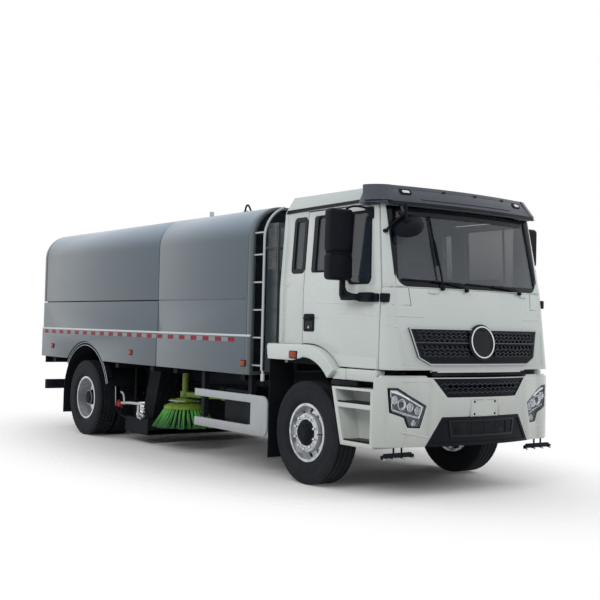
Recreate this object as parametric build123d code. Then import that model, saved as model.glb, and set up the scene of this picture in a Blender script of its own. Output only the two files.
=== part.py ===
from build123d import *
import os
from math import cos, pi, radians, sin, sqrt

# Street sweeper truck, millimetres. X is forward, Y left, Z up from the ground; X = 0 is half way along.

# Wheelbase and overhangs
WHEELBASE = 5200
FRONT_OVERHANG = 1380
REAR_OVERHANG = 1560
FRONT_AXLE = (WHEELBASE + REAR_OVERHANG - FRONT_OVERHANG) / 2
REAR_AXLE = FRONT_AXLE - WHEELBASE
NOSE = FRONT_AXLE + FRONT_OVERHANG
TAIL = REAR_AXLE - REAR_OVERHANG

# Clearances
RUN_GAP = 0.05          # shaft in its bore, on the radius
SEAT_GAP = 0.3          # glass and lamps in their frames
DOOR_GAP = 10           # round a door leaf
BODY_GAP = 14           # seams between the tipping hopper and the fixed body
SWING_GAP = 10          # beside other moving pieces
OVERCUT = 1             # how far a cut runs past the face it opens

# Wheels
TYRE_R = 525
TYRE_WIDTH = 280
TREAD_INSET = 22
SHOULDER_DROP = 26
SHOULDER_INSET = 8
RIM_INSET = 35
RIM_SEAT_R = 286
RIM_FLANGE = 12
RIM_WALL = 14
HAND_HOLES = 10
HAND_HOLE_R = 28
DISC_R = 180
DISC_WALL = 14
DISC_FOOT = 22
HUB_R = 125
HUB_NOSE_R = 100
HUB_CAP = 22
FRONT_WHEEL_Y = 1022
FRONT_DISC_OUT = 62
FRONT_HUB_OUT = 110
FRONT_SPINDLE_R = 40
REAR_OUTER_Y = 1087
DUAL_GAP = 40
REAR_DISC_SPREAD = 70
REAR_HUB_OUT = 75
REAR_SPINDLE_R = 60
REAR_INNER_Y = REAR_OUTER_Y - TYRE_WIDTH - DUAL_GAP
RIM_FLANGE_R = RIM_SEAT_R + RIM_FLANGE
RIM_HALF = TYRE_WIDTH / 2 - RIM_INSET
RIM_BORE_R = RIM_SEAT_R - RIM_WALL
HAND_HOLE_RING = (DISC_R + RIM_BORE_R) / 2

# Steering and front axle
KINGPIN_IN = 117
KINGPIN_Y = FRONT_WHEEL_Y - KINGPIN_IN
KINGPIN_R = 25
EYE_R = 45
EYE_HALF = 65
YOKE_PLATE = 30
YOKE_BLOCK = 30
YOKE_HALF = 45
YOKE_BACK = 40
BEAM_DROP = 90
BEAM_HALF = 640
BEAM_DEPTH = 110
BEAM_WIDTH = 100
BEAM_ARM_WIDTH = 80
BEAM_ARM_DEPTH = 70

# Rear axle
AXLE_TUBE_R = 90
DIFFERENTIAL_R = 230
AXLE_TUBE_END = 137      # tube end in from the inner twin wheel's middle

# Chassis frame
RAIL_OUT = 425
RAIL_FLANGE = 80
RAIL_WALL = 10
RAIL_RISE = 195
RAIL_DEPTH = 260
RAIL_LOW = TYRE_R + RAIL_RISE
RAIL_TOP = RAIL_LOW + RAIL_DEPTH
RAIL_IN = RAIL_OUT - RAIL_FLANGE
WEB_IN = RAIL_OUT - RAIL_WALL
RAIL_FRONT = NOSE - 230
RAIL_REAR = TAIL + 110
CROSS_DEPTH = 90
CROSS_HEIGHT = 110
CROSS_MEMBERS = [
    RAIL_FRONT - CROSS_DEPTH, FRONT_AXLE - 900, FRONT_AXLE - 2100, FRONT_AXLE - 3400,
    REAR_AXLE + 620, REAR_AXLE - 620, RAIL_REAR,
]
SPRING_WIDTH = 80
SPRING_LENGTH = 1500
SPRING_HANGER = 60
HANGER_RISE = 90
FRONT_SPRING_DEPTH = 70
REAR_SPRING_DEPTH = 110

# Engine, radiator, gearbox and shaft
POWER_BLOCKS = [
    # rear and front from the front axle, clear of the rail flange, low and top from the rail's lower edge
    (-450, 600, 15, -120, 460),
    (600, 760, 195, 80, 230),
    (760, 860, 15, -80, 430),
    (-1250, -450, 135, -160, 140),
]
SHAFT_R = 55
SHAFT_RISE = 110
SHAFT_REAR = 150
ENGINE_MOUNTS = [-350, 400]
ENGINE_MOUNT = 120
MOUNT_RISE = 60

# Cab: plan outlines at rising heights
CAB_RISE = 235
CAB_BELT_RISE = 775
CAB_DRIP_RISE = 825
CAB_ROOF_RISE = 170
CAB_BOTTOM = RAIL_TOP + CAB_RISE
CAB_BELT = CAB_BOTTOM + CAB_BELT_RISE
CAB_DRIP = CAB_BELT + CAB_DRIP_RISE
CAB_TOP = CAB_DRIP + CAB_ROOF_RISE
CAB_BACK = 555
CAB_REAR = FRONT_AXLE - CAB_BACK
CAB_HALF = 1125
CAB_DRIP_IN = 55
CAB_ROOF_IN = 165
CAB_WALL = 60
CAB_CORNER_R = 150
CAB_BOW = 80
CAB_SECTIONS = [
    # height, half width, front at the middle
    (CAB_BOTTOM, CAB_HALF, NOSE - 40),
    (CAB_BELT, CAB_HALF, NOSE - 140),
    (CAB_DRIP, CAB_HALF - CAB_DRIP_IN, NOSE - 290),
    (CAB_TOP, CAB_HALF - CAB_ROOF_IN, NOSE - 440),
]
CAB_FLOOR_THICK = 85
CAB_FLOOR_TOP = CAB_BOTTOM + CAB_FLOOR_THICK
CAB_FLOOR_IN = 85
CAB_FLOOR_HALF = CAB_HALF - CAB_FLOOR_IN
ROOF_DROP = 15
ROOF_SPLIT = CAB_DRIP - ROOF_DROP
SCREEN_LOW = CAB_BELT + 15
SCREEN_TOP = CAB_DRIP - 35
SCREEN_HALF_LOW = CAB_HALF - 140
SCREEN_HALF_TOP = CAB_HALF - 200
GLASS_DEEP = 14
GLASS_THICK = 8
CAB_REST = 80
CAB_REST_X = CAB_REAR + 60
VISOR_OUT = 70
VISOR_REAR = NOSE - 620
VISOR_DROP = 35
VISOR_TOP_DROP = 20

# Upper grille on the cab's front panel: a plate with a hexagonal mesh in two bands
GRILLE_OUT = 14
GRILLE_SHAPE = [
    # half width, height over the cab's bottom edge
    (886, 400), (800, 115), (673, 51),
]
GRILLE_BORDER = 42
HEX_R = 30
HEX_WALL = 10

# Cab tilt hinge
TILT_X = NOSE - 95
TILT_Z = CAB_BOTTOM - 27
TILT_PIN_R = 11
TILT_EAR_R = 20
TILT_EAR_WALL = 20
TILT_EAR_BACK = 120
TILT_LUG_BACK = 60
TILT_GAP = 5
TILT_LUG_Y = (RAIL_IN + 12, RAIL_OUT)

# Doors
DOOR_REAR = FRONT_AXLE - 124
DOOR_FRONT = NOSE - 300
DOOR_TOP_FRONT = NOSE - 430
DOOR_PIVOT_BACK = 40
DOOR_PIVOT_IN = 14
DOOR_PIN_R = 7
DOOR_PIN_LENGTH = 40
DOOR_PIN_SEAT = 20
WINDOW_TOP = CAB_DRIP - 76
WINDOW_LOW = CAB_BELT + 165
WINDOW_DIP = CAB_BELT + 32
DOOR_WINDOW = [
    (DOOR_REAR + 152, WINDOW_TOP), (DOOR_REAR + 152, WINDOW_LOW), (DOOR_FRONT - 580, WINDOW_LOW),
    (DOOR_FRONT - 460, WINDOW_DIP), (DOOR_FRONT - 125, WINDOW_DIP), (DOOR_TOP_FRONT - 58, WINDOW_TOP),
]
QUARTER_REAR = CAB_REAR + 230
QUARTER_FRONT = DOOR_REAR - 51
QUARTER_WINDOW = [
    (QUARTER_REAR, WINDOW_TOP), (QUARTER_REAR, WINDOW_LOW), (QUARTER_FRONT, WINDOW_LOW), (QUARTER_FRONT, WINDOW_TOP),
]

# Seats, dashboard and steering wheel
SEAT_Y = 520
SEAT_BLOCKS = [
    # rear and front from the front axle, half width, low and top over the floor
    (-150, 330, 240, 260, 400),
    (-230, -110, 240, 260, 1060),
    (-100, 250, 180, 0, 260),
]
DASH_REAR = NOSE - 580
DASH_FRONT = NOSE - 300
DASH_HALF = CAB_HALF - 195
DASH_LOW = CAB_BELT - 430
DASH_TOP = CAB_BELT - 90
CONSOLE_HALF = 420
CONSOLE_INSET = 50
STEERING_R = 215
STEERING_RIM_R = 18
STEERING_BOSS_R = 50
STEERING_SPOKE = 40
STEERING_TILT = 35
STEERING_COLUMN = 320
STEERING_COLUMN_R = 35
STEERING_AHEAD = 210
COLUMN_SHROUD = 90

# Mirrors on the doors and the round mirror under the visor
MIRROR_BLOCKS = [
    # rear and front from the door's front edge, inner and outer from the cab's side, low and top from the belt
    (-230, -65, 0, 75, -140, -50),
    (-440, -210, 45, 125, -125, -65),
    (-430, -380, 100, 150, -90, 130),
]
MIRROR_X = (DOOR_FRONT - 470, DOOR_FRONT - 340)
MIRROR_Y = (CAB_HALF + 70, CAB_HALF + 300)
MIRROR_Z = (CAB_BELT + 85, CAB_DRIP - 90)
MIRROR_CORNER_R = 30
ROUND_MIRROR_X = NOSE - 240
ROUND_MIRROR_Y = CAB_HALF - 255
ROUND_MIRROR_Z = CAB_DRIP - 255
ROUND_MIRROR_R = 125
ROUND_MIRROR_DEEP = 60
ROUND_MIRROR_EDGE = 20
ROUND_STEM = 28
ROUND_STEM_LEAN = 76

# Front wheel arch and sill
ARCH_RISE = 229
ARCH_Z = TYRE_R + ARCH_RISE
ARCH_IN_R = 536
ARCH_BAND = 130
ARCH_OUT_R = ARCH_IN_R + ARCH_BAND
ARCH_TOP = ARCH_Z + ARCH_OUT_R
ARCH_END = 50
ARCH_REAR = FRONT_AXLE - 640
ARCH_HALF = CAB_HALF + 90
SILL_TOP = CAB_BOTTOM - 10
SILL_LOW = SILL_TOP - 110
SILL_HALF = CAB_HALF + 25
SILL_REAR = FRONT_AXLE + 420
SILL_LAP = 20

# Bumper
BUMPER_HALF = CAB_HALF + 90
BUMPER_REAR = NOSE - 270
BUMPER_TOP = CAB_BOTTOM - 70
BUMPER_DEPTH = 650
BUMPER_LOW = BUMPER_TOP - BUMPER_DEPTH
BUMPER_WALL = 50
BUMPER_CORNER_R = 385
BUMPER_BOW = 140
BUMPER_SWEEP = 85
LAMP_SHAPE = [
    # in from the bumper's side, up from its lower edge
    (117, 555), (217, 553), (518, 385), (452, 176), (326, 182), (288, 275), (136, 325),
]
LAMP_DEEP = 5
TRIM_DEEP = 8
LOWER_GRILLE = [
    # half width, up from the bumper's lower edge
    (628, 640), (468, 463),
]
VALANCE = [(526, 274), (709, -6)]
LOWER_GRILLE_STRIP = 45
PLATE_SPACING_Y = 280
PLATE_SPACING_Z = 118
PLATE_RISE = 358
PLATE_Z = BUMPER_LOW + PLATE_RISE
PLATE_HOLE_R = 4
PLATE_PAD_Y = 45
PLATE_PAD_Z = 22
PLATE_PAD_DEEP = 45
TOW_Y = -330
TOW_RISE = 145
TOW_Z = BUMPER_LOW + TOW_RISE
TOW_BORE_R = 21
TOW_TUBE_R = 34
TOW_DEPTH = 90
TOW_BACK = 20
BUMPER_ARM = (60, 110)
SPRAY_BAR_R = 12
SPRAY_BAR_DROP = 85
SPRAY_BAR_Y = (770, 1170)
SPRAY_STEM_R = 9
SPRAY_STEM_IN = 150
SPRAY_BACK = 175

# Steps under the doors
STEP_TOP = SILL_LOW - 66
STEP_LOW = BUMPER_LOW - 21
STEP_TOP_X = FRONT_AXLE + 470
STEP_LOW_X = FRONT_AXLE + 622
STEP_OUT = BUMPER_HALF - 20
STEP_IN = STEP_OUT - 265
STEP_MARGIN = 50
STEP_BACK = 40
TREAD_Z = STEP_TOP - 149
TREAD_THICK = 45
STEP_ARM_X = (BUMPER_REAR - 230, BUMPER_REAR - 150)
STEP_ARM_Z = (RAIL_LOW + 60, RAIL_LOW + 140)

# Sweeper body
BODY_HALF = 1235
BODY_PROUD = 15
SUBFRAME_DEPTH = 81
BODY_BAND = 429
BODY_LOW = RAIL_TOP + SUBFRAME_DEPTH
BODY_LEDGE = BODY_LOW + BODY_BAND
BODY_SEAM = BODY_LEDGE + 396
BODY_TOP = BODY_SEAM + 1039
BODY_ROOF_R = 375
BODY_WALL = 40
BODY_FRONT = FRONT_AXLE - 921
BODY_SPLIT = FRONT_AXLE - 3056
FRONT_BAND = 100
FRONT_INSET = 35
SKIRT_WALL = 40
SKIRT_IN = BODY_HALF - SKIRT_WALL
SEAM_GROOVE = 6
ROOF_EYE_R = 45
ROOF_EYE_WIRE_R = 9
ROOF_EYES = [BODY_FRONT - 330, BODY_FRONT - 480]
ROOF_EYE_Y = -BODY_HALF / 2
ROOF_VENT_X = BODY_FRONT - 1100
ROOF_VENT_R = 32
ROOF_VENT_RISE = 70

# Sweeper engine inside the fixed front body
SWEEPER_ENGINE_X = (BODY_FRONT - 1500, BODY_FRONT - 500)
SWEEPER_ENGINE_HALF = 450
SWEEPER_ENGINE_TALL = 750

# Rear mudguards and flaps
MUDGUARD_R = 745
MUDGUARD_WALL = 10
MUDGUARD_OUT = REAR_OUTER_Y + 135
MUDGUARD_IN = REAR_INNER_Y - 157
MUDGUARD_FRONT_Z = TYRE_R + 200
MUDGUARD_ARM_X = 560
MUDGUARD_ARM_R = 18
MUDGUARD_ARM_LAP = 40
ARCH_CUT_R = MUDGUARD_R + 50
FLAP_LOW = 260
FRONT_FLAP_X = FRONT_AXLE - 620
FRONT_FLAP_THICK = 12
FRONT_FLAP_Y = (880, 1190)
FRONT_FLAP_Z = (205, ARCH_Z + ARCH_IN_R - 20)
FLAP_ARM = 20
FLAP_ARM_END = 1000
FLAP_ARM_Z = (RAIL_LOW + 90, RAIL_LOW + 150)

# Hopper, tip hinge and tailgate
HOPPER_TUB_HALF = SKIRT_IN - BODY_GAP
HOPPER_ROOM = 50
HOPPER_FLOOR = TYRE_R + MUDGUARD_R + HOPPER_ROOM
BEARER_RISE = 69
BEARER_LOW = BODY_LOW + BEARER_RISE
BEARER_SHORT = 300
CROSS_BEAM = 90
BEAM_SEAT = 10
TAILGATE_THICK = 80
TAILGATE_PANEL = 18
TAILGATE_RIB = 110
TIP_X = TAIL + 120
TIP_Z = BEARER_LOW
TIP_PIN_R = 30
TIP_LUG_R = 55
TIP_EAR_R = 40
TIP_EAR_WALL = 30
TIP_EAR_GAP = 10
GATE_PIN_RISE = 23
GATE_PIN_Z = BODY_TOP + GATE_PIN_RISE
GATE_PIN_R = 12
GATE_EAR_R = 18
GATE_EAR_WALL = 20
GATE_EAR_LENGTH = 130
GATE_HINGE_Y = 600
GATE_LUG_HALF = 20
GATE_LUG_GAP = 10
GATE_SEAT = 10
REAR_PANEL_BACK = 24
REAR_PANEL = 16
REAR_PANEL_LOW = RAIL_TOP - 20
REAR_LAMP_Y = (860, 1150)
REAR_LAMP_Z = (RAIL_TOP - 5, RAIL_TOP + 105)

# Side brushes
BRUSH_X = FRONT_AXLE - 3080
BRUSH_IN = 435
BRUSH_Y = BODY_HALF - BRUSH_IN
BRUSH_R = 418
BRUSH_PLATE_R = 268
BRUSH_LOW = 285
BRUSH_PLATE_Z = 520
BRUSH_PLATE_THICK = 70
BRUSH_PLATE_TOP = BRUSH_PLATE_Z + BRUSH_PLATE_THICK
BRUSH_TUFTS = 24
TUFT_DEEP = 70
TUFT_TOP_WIDTH = 48
TUFT_LOW_WIDTH = 88
TUFT_SEAT = 4
BRUSH_SHAFT_R = 30
BRUSH_MOTOR_R = 110
BRUSH_MOTOR_GAP = 6
SPRAY_RING_R = 175
SPRAY_RING_WIRE_R = 9
MAST_R = 40
ARM_LOW = BRUSH_PLATE_TOP + 70
ARM_DEPTH = 80
ARM_TOP = ARM_LOW + ARM_DEPTH
MAST_TOP = ARM_TOP + 300
ARM_WIDTH = 80
ARM_BEVEL = 10
ARM_PIVOT_X = FRONT_AXLE - 2480
ARM_PIVOT_Y = RAIL_OUT + 135
ARM_PIN_R = 30
ARM_EYE_R = 60
ARM_SLEEVE = 22
ARM_PIN_TAIL = 20
ARM_BRACKET = 70

# Side guards, fuel tank and battery box
GUARD_OUT = BODY_HALF - 30
GUARD_THICK = 25
GUARD_FRONT = FRONT_AXLE - 630
GUARD_PANEL = FRONT_AXLE - 950
GUARD_REAR = FRONT_AXLE - 2150
GUARD_BARS = [(415, 515), (760, 846)]
GUARD_POSTS = [GUARD_PANEL - 50, GUARD_REAR + 150]
GUARD_POST = 60
GUARD_CORNER_R = 90
SIDE_BOXES = [
    # side, rear and front from the front axle, low, top, edge radius, places of its two brackets
    (1, -1950, -1060, 450, 900, 70, (-1800, -1250)),
    (-1, -1650, -1060, 500, 880, 30, (-1550, -1250)),
]
SIDE_BOX_Y = (RAIL_OUT + 95, GUARD_OUT - 115)
SIDE_BOX_ARM = 80
SIDE_BOX_ARM_Z = (RAIL_LOW + 20, RAIL_LOW + 140)
SIDE_BOX_LAP = 40

# Suction nozzle and ducts
NOZZLE_X = (FRONT_AXLE - 4350, FRONT_AXLE - 3700)
NOZZLE_Z = (140, 330)
NOZZLE_HALF = 1000
NOZZLE_WALL = 15
NOZZLE_STRUT_R = 14
NOZZLE_STRUT_Y = 900
NOZZLE_SEAT = 5
NOZZLE_BEAM_X = BODY_SPLIT - 1200
DUCT_OUT = 860
DUCT_WIDTH = 280
DUCT_DEPTH = 300
DUCT_BACK = 430
DUCT_LEAN = 310

# Ladder and air intake behind the cab
LADDER_X = BODY_FRONT + 191
LADDER_IN = 20
LADDER_R = 16
LADDER_LOW = BODY_LOW + 59
LADDER_BEND = 70
RUNG_R = 11
RUNG_FIRST = LADDER_LOW + 50
RUNG_PITCH = 300
RUNGS = 5
TOP_RUNG_RISE = 60
TOP_RUNG_IN = 6
TOWER_X = (BODY_FRONT + 51, BODY_FRONT + 261)
TOWER_Y = (-BODY_HALF + 150, -BODY_HALF + 435)
TOWER_LOW = RAIL_TOP + 120
TOWER_TOP = BODY_TOP - 205
TOWER_FOOT_X = (TOWER_X[0] + 70, TOWER_X[0] + 160)
TOWER_FOOT_OUT = 85

# Rear underrun bar
UNDERRUN_X = (TAIL + 40, TAIL + 110)
UNDERRUN_HALF = BODY_HALF - 35
UNDERRUN_Z = (560, 700)
UNDERRUN_ARM = 20

nodes = {}


def box(x, y, z):
    """Box from (low, high) pairs along each axis."""
    size = [pair[1] - pair[0] for pair in (x, y, z)]
    middle = [(pair[0] + pair[1]) / 2 for pair in (x, y, z)]
    return Pos(*middle) * Box(*size)


def outline(points):
    return make_face(Polyline(*points, close=True))


def prism_xz(points, y):
    """Side-view outline carried across between two y values."""
    return extrude(Pos(0, y[1], 0) * (Plane.XZ * outline(points)), amount=y[1] - y[0])


def prism_yz(points, x):
    """Front-view outline carried along between two x values."""
    return extrude(Pos(x[0], 0, 0) * (Plane.YZ * outline(points)), amount=x[1] - x[0])


def rod_x(y, z, radius, x):
    rod = Cylinder(radius, x[1] - x[0], align=(Align.CENTER, Align.CENTER, Align.MIN))
    return Pos(x[0], y, z) * (Rot(0, 90, 0) * rod)


def rod_y(x, z, radius, y):
    middle = (y[0] + y[1]) / 2
    return Pos(x, middle, z) * (Rot(90, 0, 0) * Cylinder(radius, y[1] - y[0]))


def rod_z(x, y, radius, z):
    return Pos(x, y, z[0]) * Cylinder(radius, z[1] - z[0], align=(Align.CENTER, Align.CENTER, Align.MIN))


def on_side(sign, span):
    """A (low, high) span of |Y| on the left (1) or right (-1) side."""
    return sorted((sign * span[0], sign * span[1]))


def other_side(shape):
    return mirror(shape, about=Plane.XZ)


def together(*shapes):
    """Separate solids in one node."""
    return Compound(children=[solid for shape in shapes for solid in shape.solids()])


def pair(shape):
    """A right-hand piece and its mirror image in one node."""
    return together(shape, other_side(shape))


def mirrored(points):
    """A half outline on the +Y side, closed over the middle line."""
    return points + [(-y, z) for y, z in reversed(points)]


def raised(points, base):
    return [(y, base + z) for y, z in points]


def shrunk(points):
    """The same outline drawn in by about the seat gap."""
    middle_x = sum(x for x, z in points) / len(points)
    middle_z = sum(z for x, z in points) / len(points)
    reach = min(max(abs(x - middle_x) for x, z in points), max(abs(z - middle_z) for x, z in points))
    scale = 1 - SEAT_GAP / reach
    return [(middle_x + (x - middle_x) * scale, middle_z + (z - middle_z) * scale) for x, z in points]


def turned(profile, x, z):
    """Solid of revolution about the Y axis through (x, z); the profile is drawn as (y, radius)."""
    return Pos(x, 0, z) * revolve(Plane.YZ * profile, axis=Axis.Y)


def strip(y, radius):
    """Rectangle of a turned profile, from (low, high) pairs."""
    return outline([(y[0], radius[0]), (y[1], radius[0]), (y[1], radius[1]), (y[0], radius[1])])


def bowed_plan(rear, half, front, radius, bow):
    """Plan outline with a straight rear, rounded front corners and a bowed front."""
    cheek = front - bow
    shoulder = cheek - radius
    nose_half = half - radius
    bend = radius * sin(radians(45))
    return make_face([
        Line((rear, half), (rear, -half)),
        Line((rear, -half), (shoulder, -half)),
        ThreePointArc((shoulder, -half), (shoulder + bend, -nose_half - bend), (cheek, -nose_half)),
        ThreePointArc((cheek, -nose_half), (front, 0), (cheek, nose_half)),
        ThreePointArc((cheek, nose_half), (shoulder + bend, nose_half + bend), (shoulder, half)),
        Line((shoulder, half), (rear, half)),
    ])


def cab_solid(inset):
    """The cab's outside form moved inwards by inset on the sides and the top."""
    sections = []
    for height, half, front in CAB_SECTIONS:
        z = height - inset if height == CAB_TOP else height
        plan = bowed_plan(CAB_REAR + inset, half - inset, front - inset, CAB_CORNER_R - inset, CAB_BOW)
        sections.append(Pos(0, 0, z) * plan)
    return loft(sections, ruled=True)


def bumper_plan(inset):
    behind = NOSE - BUMPER_BOW - BUMPER_CORNER_R - BUMPER_WALL
    half = BUMPER_HALF + BUMPER_SWEEP - inset
    return bowed_plan(behind, half, NOSE - inset, BUMPER_CORNER_R - inset, BUMPER_BOW)


def bumper_solid(plan):
    """A plan carried up over the bumper's height and cut off flat behind."""
    reach = BUMPER_HALF + BUMPER_SWEEP
    room = box((BUMPER_REAR, NOSE + OVERCUT), (-reach, reach), (BUMPER_LOW, BUMPER_TOP))
    return Pos(0, 0, BUMPER_LOW) * extrude(plan, amount=BUMPER_DEPTH) & room


def bumper_layer(outer, inner):
    """The part of the bumper's thickness between two depths below its face."""
    return bumper_solid(bumper_plan(outer) - bumper_plan(inner))


def half_at(points, z):
    """Half width of a half outline at one height."""
    for (y_a, z_a), (y_b, z_b) in zip(points, points[1:]):
        if z_b <= z <= z_a:
            return y_b + (y_a - y_b) * (z - z_b) / (z_a - z_b)
    return 0


def hex_mesh(points, border, x):
    """Hexagonal holes in staggered rows inside a half outline, run along X."""
    holes = []
    pitch_y = HEX_R * sqrt(3) + HEX_WALL
    pitch_z = 1.5 * HEX_R + HEX_WALL
    top = points[0][1] - border - HEX_R
    low = points[-1][1] + border + HEX_R
    rows = int((top - low) / pitch_z) + 1
    for row in range(rows):
        z = top - row * pitch_z
        room = min(half_at(points, z - HEX_R), half_at(points, z + HEX_R)) - border - HEX_R
        shift = pitch_y / 2 * (row % 2)
        count = int((room + shift) / pitch_y)
        for column in range(-count, count + 1):
            y = column * pitch_y + shift
            if abs(y) <= room:
                corners = [
                    (y + HEX_R * sin(pi * corner / 3), z + HEX_R * cos(pi * corner / 3)) for corner in range(6)
                ]
                holes.append(prism_yz(corners, x))
    return holes


def make_chassis():
    web = [
        (RAIL_OUT, RAIL_LOW), (RAIL_OUT, RAIL_TOP), (RAIL_IN, RAIL_TOP), (RAIL_IN, RAIL_TOP - RAIL_WALL),
        (WEB_IN, RAIL_TOP - RAIL_WALL), (WEB_IN, RAIL_LOW + RAIL_WALL), (RAIL_IN, RAIL_LOW + RAIL_WALL),
        (RAIL_IN, RAIL_LOW),
    ]
    rail = prism_yz(web, (RAIL_REAR, RAIL_FRONT))
    frame = rail + other_side(rail)
    cross_top = RAIL_TOP - RAIL_WALL
    for x in CROSS_MEMBERS:
        frame += box((x, x + CROSS_DEPTH), (-WEB_IN, WEB_IN), (cross_top - CROSS_HEIGHT, cross_top))
    ear_in = (TILT_LUG_Y[0] - TILT_GAP - TILT_EAR_WALL, TILT_LUG_Y[0] - TILT_GAP)
    ear_out = (TILT_LUG_Y[1] + TILT_GAP, TILT_LUG_Y[1] + TILT_GAP + TILT_EAR_WALL)
    ear_x = (RAIL_FRONT - TILT_EAR_BACK, TILT_X)
    for side in (-1, 1):
        # Cab tilt ears at the front of each rail, with the pin between them
        for ear in (ear_in, ear_out):
            frame += box(ear_x, on_side(side, ear), (RAIL_LOW + RAIL_DEPTH / 2, TILT_Z))
            frame += rod_y(TILT_X, TILT_Z, TILT_EAR_R, on_side(side, ear))
        across = on_side(side, (ear_in[0], ear_out[1]))
        frame += rod_y(TILT_X, TILT_Z, TILT_PIN_R, across)
        frame += box((ear_x[0], RAIL_FRONT), across, (cross_top, RAIL_TOP + 2 * TILT_EAR_WALL))
        # Cab rest behind the front axle
        rest_y = on_side(side, (RAIL_IN, RAIL_OUT))
        frame += box((CAB_REST_X, CAB_REST_X + CAB_REST), rest_y, (RAIL_TOP, CAB_BOTTOM))
        # Side brush pivot: bracket on the rail with the pin hanging from it
        bracket_y = on_side(side, (RAIL_OUT, ARM_PIVOT_Y + ARM_EYE_R))
        bracket_low = ARM_TOP + SWING_GAP
        bracket_x = (ARM_PIVOT_X - ARM_EYE_R, ARM_PIVOT_X + ARM_EYE_R)
        frame += box(bracket_x, bracket_y, (bracket_low, bracket_low + ARM_BRACKET))
        frame += rod_z(ARM_PIVOT_X, side * ARM_PIVOT_Y, ARM_PIN_R, (ARM_LOW - ARM_PIN_TAIL, bracket_low))
    # Towing socket through the bumper's valance
    socket_front = NOSE - TOW_BACK
    frame += rod_x(TOW_Y, TOW_Z, TOW_TUBE_R, (RAIL_FRONT, socket_front))
    foot_z = (TOW_Z - TOW_TUBE_R, RAIL_LOW + 2 * TILT_EAR_WALL)
    frame += box((RAIL_FRONT, RAIL_FRONT + TOW_BACK), (-RAIL_OUT, TOW_Y + TOW_TUBE_R), foot_z)
    frame -= rod_x(TOW_Y, TOW_Z, TOW_BORE_R, (socket_front - TOW_DEPTH, NOSE))
    nodes["chassis_frame"] = frame


def leaf_spring(x, z_low, depth, y):
    """A spring pack with its two hangers on the rail's web."""
    half = SPRING_LENGTH / 2
    pack = box((x - half, x + half), y, (z_low, z_low + depth))
    for end in (x - half, x + half - SPRING_HANGER):
        pack += box((end, end + SPRING_HANGER), y, (z_low, RAIL_LOW + HANGER_RISE))
    return pack


def make_front_axle():
    beam_low = TYRE_R - BEAM_DROP - BEAM_DEPTH / 2
    beam_top = beam_low + BEAM_DEPTH
    half_width = BEAM_WIDTH / 2
    half_arm = BEAM_ARM_WIDTH / 2
    arm_end = KINGPIN_Y - EYE_R / 2
    beam = box((FRONT_AXLE - half_width, FRONT_AXLE + half_width), (-BEAM_HALF, BEAM_HALF), (beam_low, beam_top))
    for side in (-1, 1):
        arm = [
            (side * (BEAM_HALF - BEAM_ARM_WIDTH), beam_low), (side * BEAM_HALF, beam_low),
            (side * arm_end, TYRE_R - BEAM_ARM_DEPTH / 2), (side * arm_end, TYRE_R + BEAM_ARM_DEPTH / 2),
            (side * (BEAM_HALF - BEAM_ARM_WIDTH), beam_top),
        ]
        beam += prism_yz(arm, (FRONT_AXLE - half_arm, FRONT_AXLE + half_arm))
        beam += rod_z(FRONT_AXLE, side * KINGPIN_Y, EYE_R, (TYRE_R - EYE_HALF, TYRE_R + EYE_HALF))
        spring_y = on_side(side, (RAIL_OUT, RAIL_OUT + SPRING_WIDTH))
        beam += leaf_spring(FRONT_AXLE, beam_top, FRONT_SPRING_DEPTH, spring_y)
    bore_z = (TYRE_R - 2 * EYE_HALF, TYRE_R + 2 * EYE_HALF)
    for side in (-1, 1):
        beam -= rod_z(FRONT_AXLE, side * KINGPIN_Y, KINGPIN_R + RUN_GAP, bore_z)
    nodes["front_axle"] = beam


def make_rear_axle():
    tube_end = REAR_INNER_Y - AXLE_TUBE_END
    spindle_end = REAR_OUTER_Y + HAND_HOLE_R
    axle = rod_y(REAR_AXLE, TYRE_R, AXLE_TUBE_R, (-tube_end, tube_end))
    axle += Pos(REAR_AXLE, 0, TYRE_R) * Sphere(DIFFERENTIAL_R)
    axle += rod_y(REAR_AXLE, TYRE_R, REAR_SPINDLE_R, (-spindle_end, spindle_end))
    for side in (-1, 1):
        spring_y = on_side(side, (RAIL_OUT, RAIL_OUT + SPRING_WIDTH))
        axle += leaf_spring(REAR_AXLE, TYRE_R + AXLE_TUBE_R - SWING_GAP, REAR_SPRING_DEPTH, spring_y)
    nodes["rear_axle"] = axle


def make_powertrain():
    shaft_front = FRONT_AXLE + POWER_BLOCKS[-1][0]
    engine = rod_x(0, TYRE_R + SHAFT_RISE, SHAFT_R, (REAR_AXLE + SHAFT_REAR, shaft_front))
    for rear, front, clear, low, top in reversed(POWER_BLOCKS):
        half = RAIL_IN - clear
        engine += box((FRONT_AXLE + rear, FRONT_AXLE + front), (-half, half), (RAIL_LOW + low, RAIL_LOW + top))
    mount_z = (RAIL_LOW + MOUNT_RISE, RAIL_TOP - RAIL_WALL - CROSS_HEIGHT - SWING_GAP)
    for start in ENGINE_MOUNTS:
        x = FRONT_AXLE + start
        engine += box((x, x + ENGINE_MOUNT), (-WEB_IN, WEB_IN), mount_z)
    engine -= nodes["rear_axle"]
    floor = BODY_LOW + BODY_WALL
    sweeper_engine = box(
        SWEEPER_ENGINE_X, (-SWEEPER_ENGINE_HALF, SWEEPER_ENGINE_HALF), (floor, floor + SWEEPER_ENGINE_TALL))
    nodes["powertrain"] = together(engine, sweeper_engine)


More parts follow.
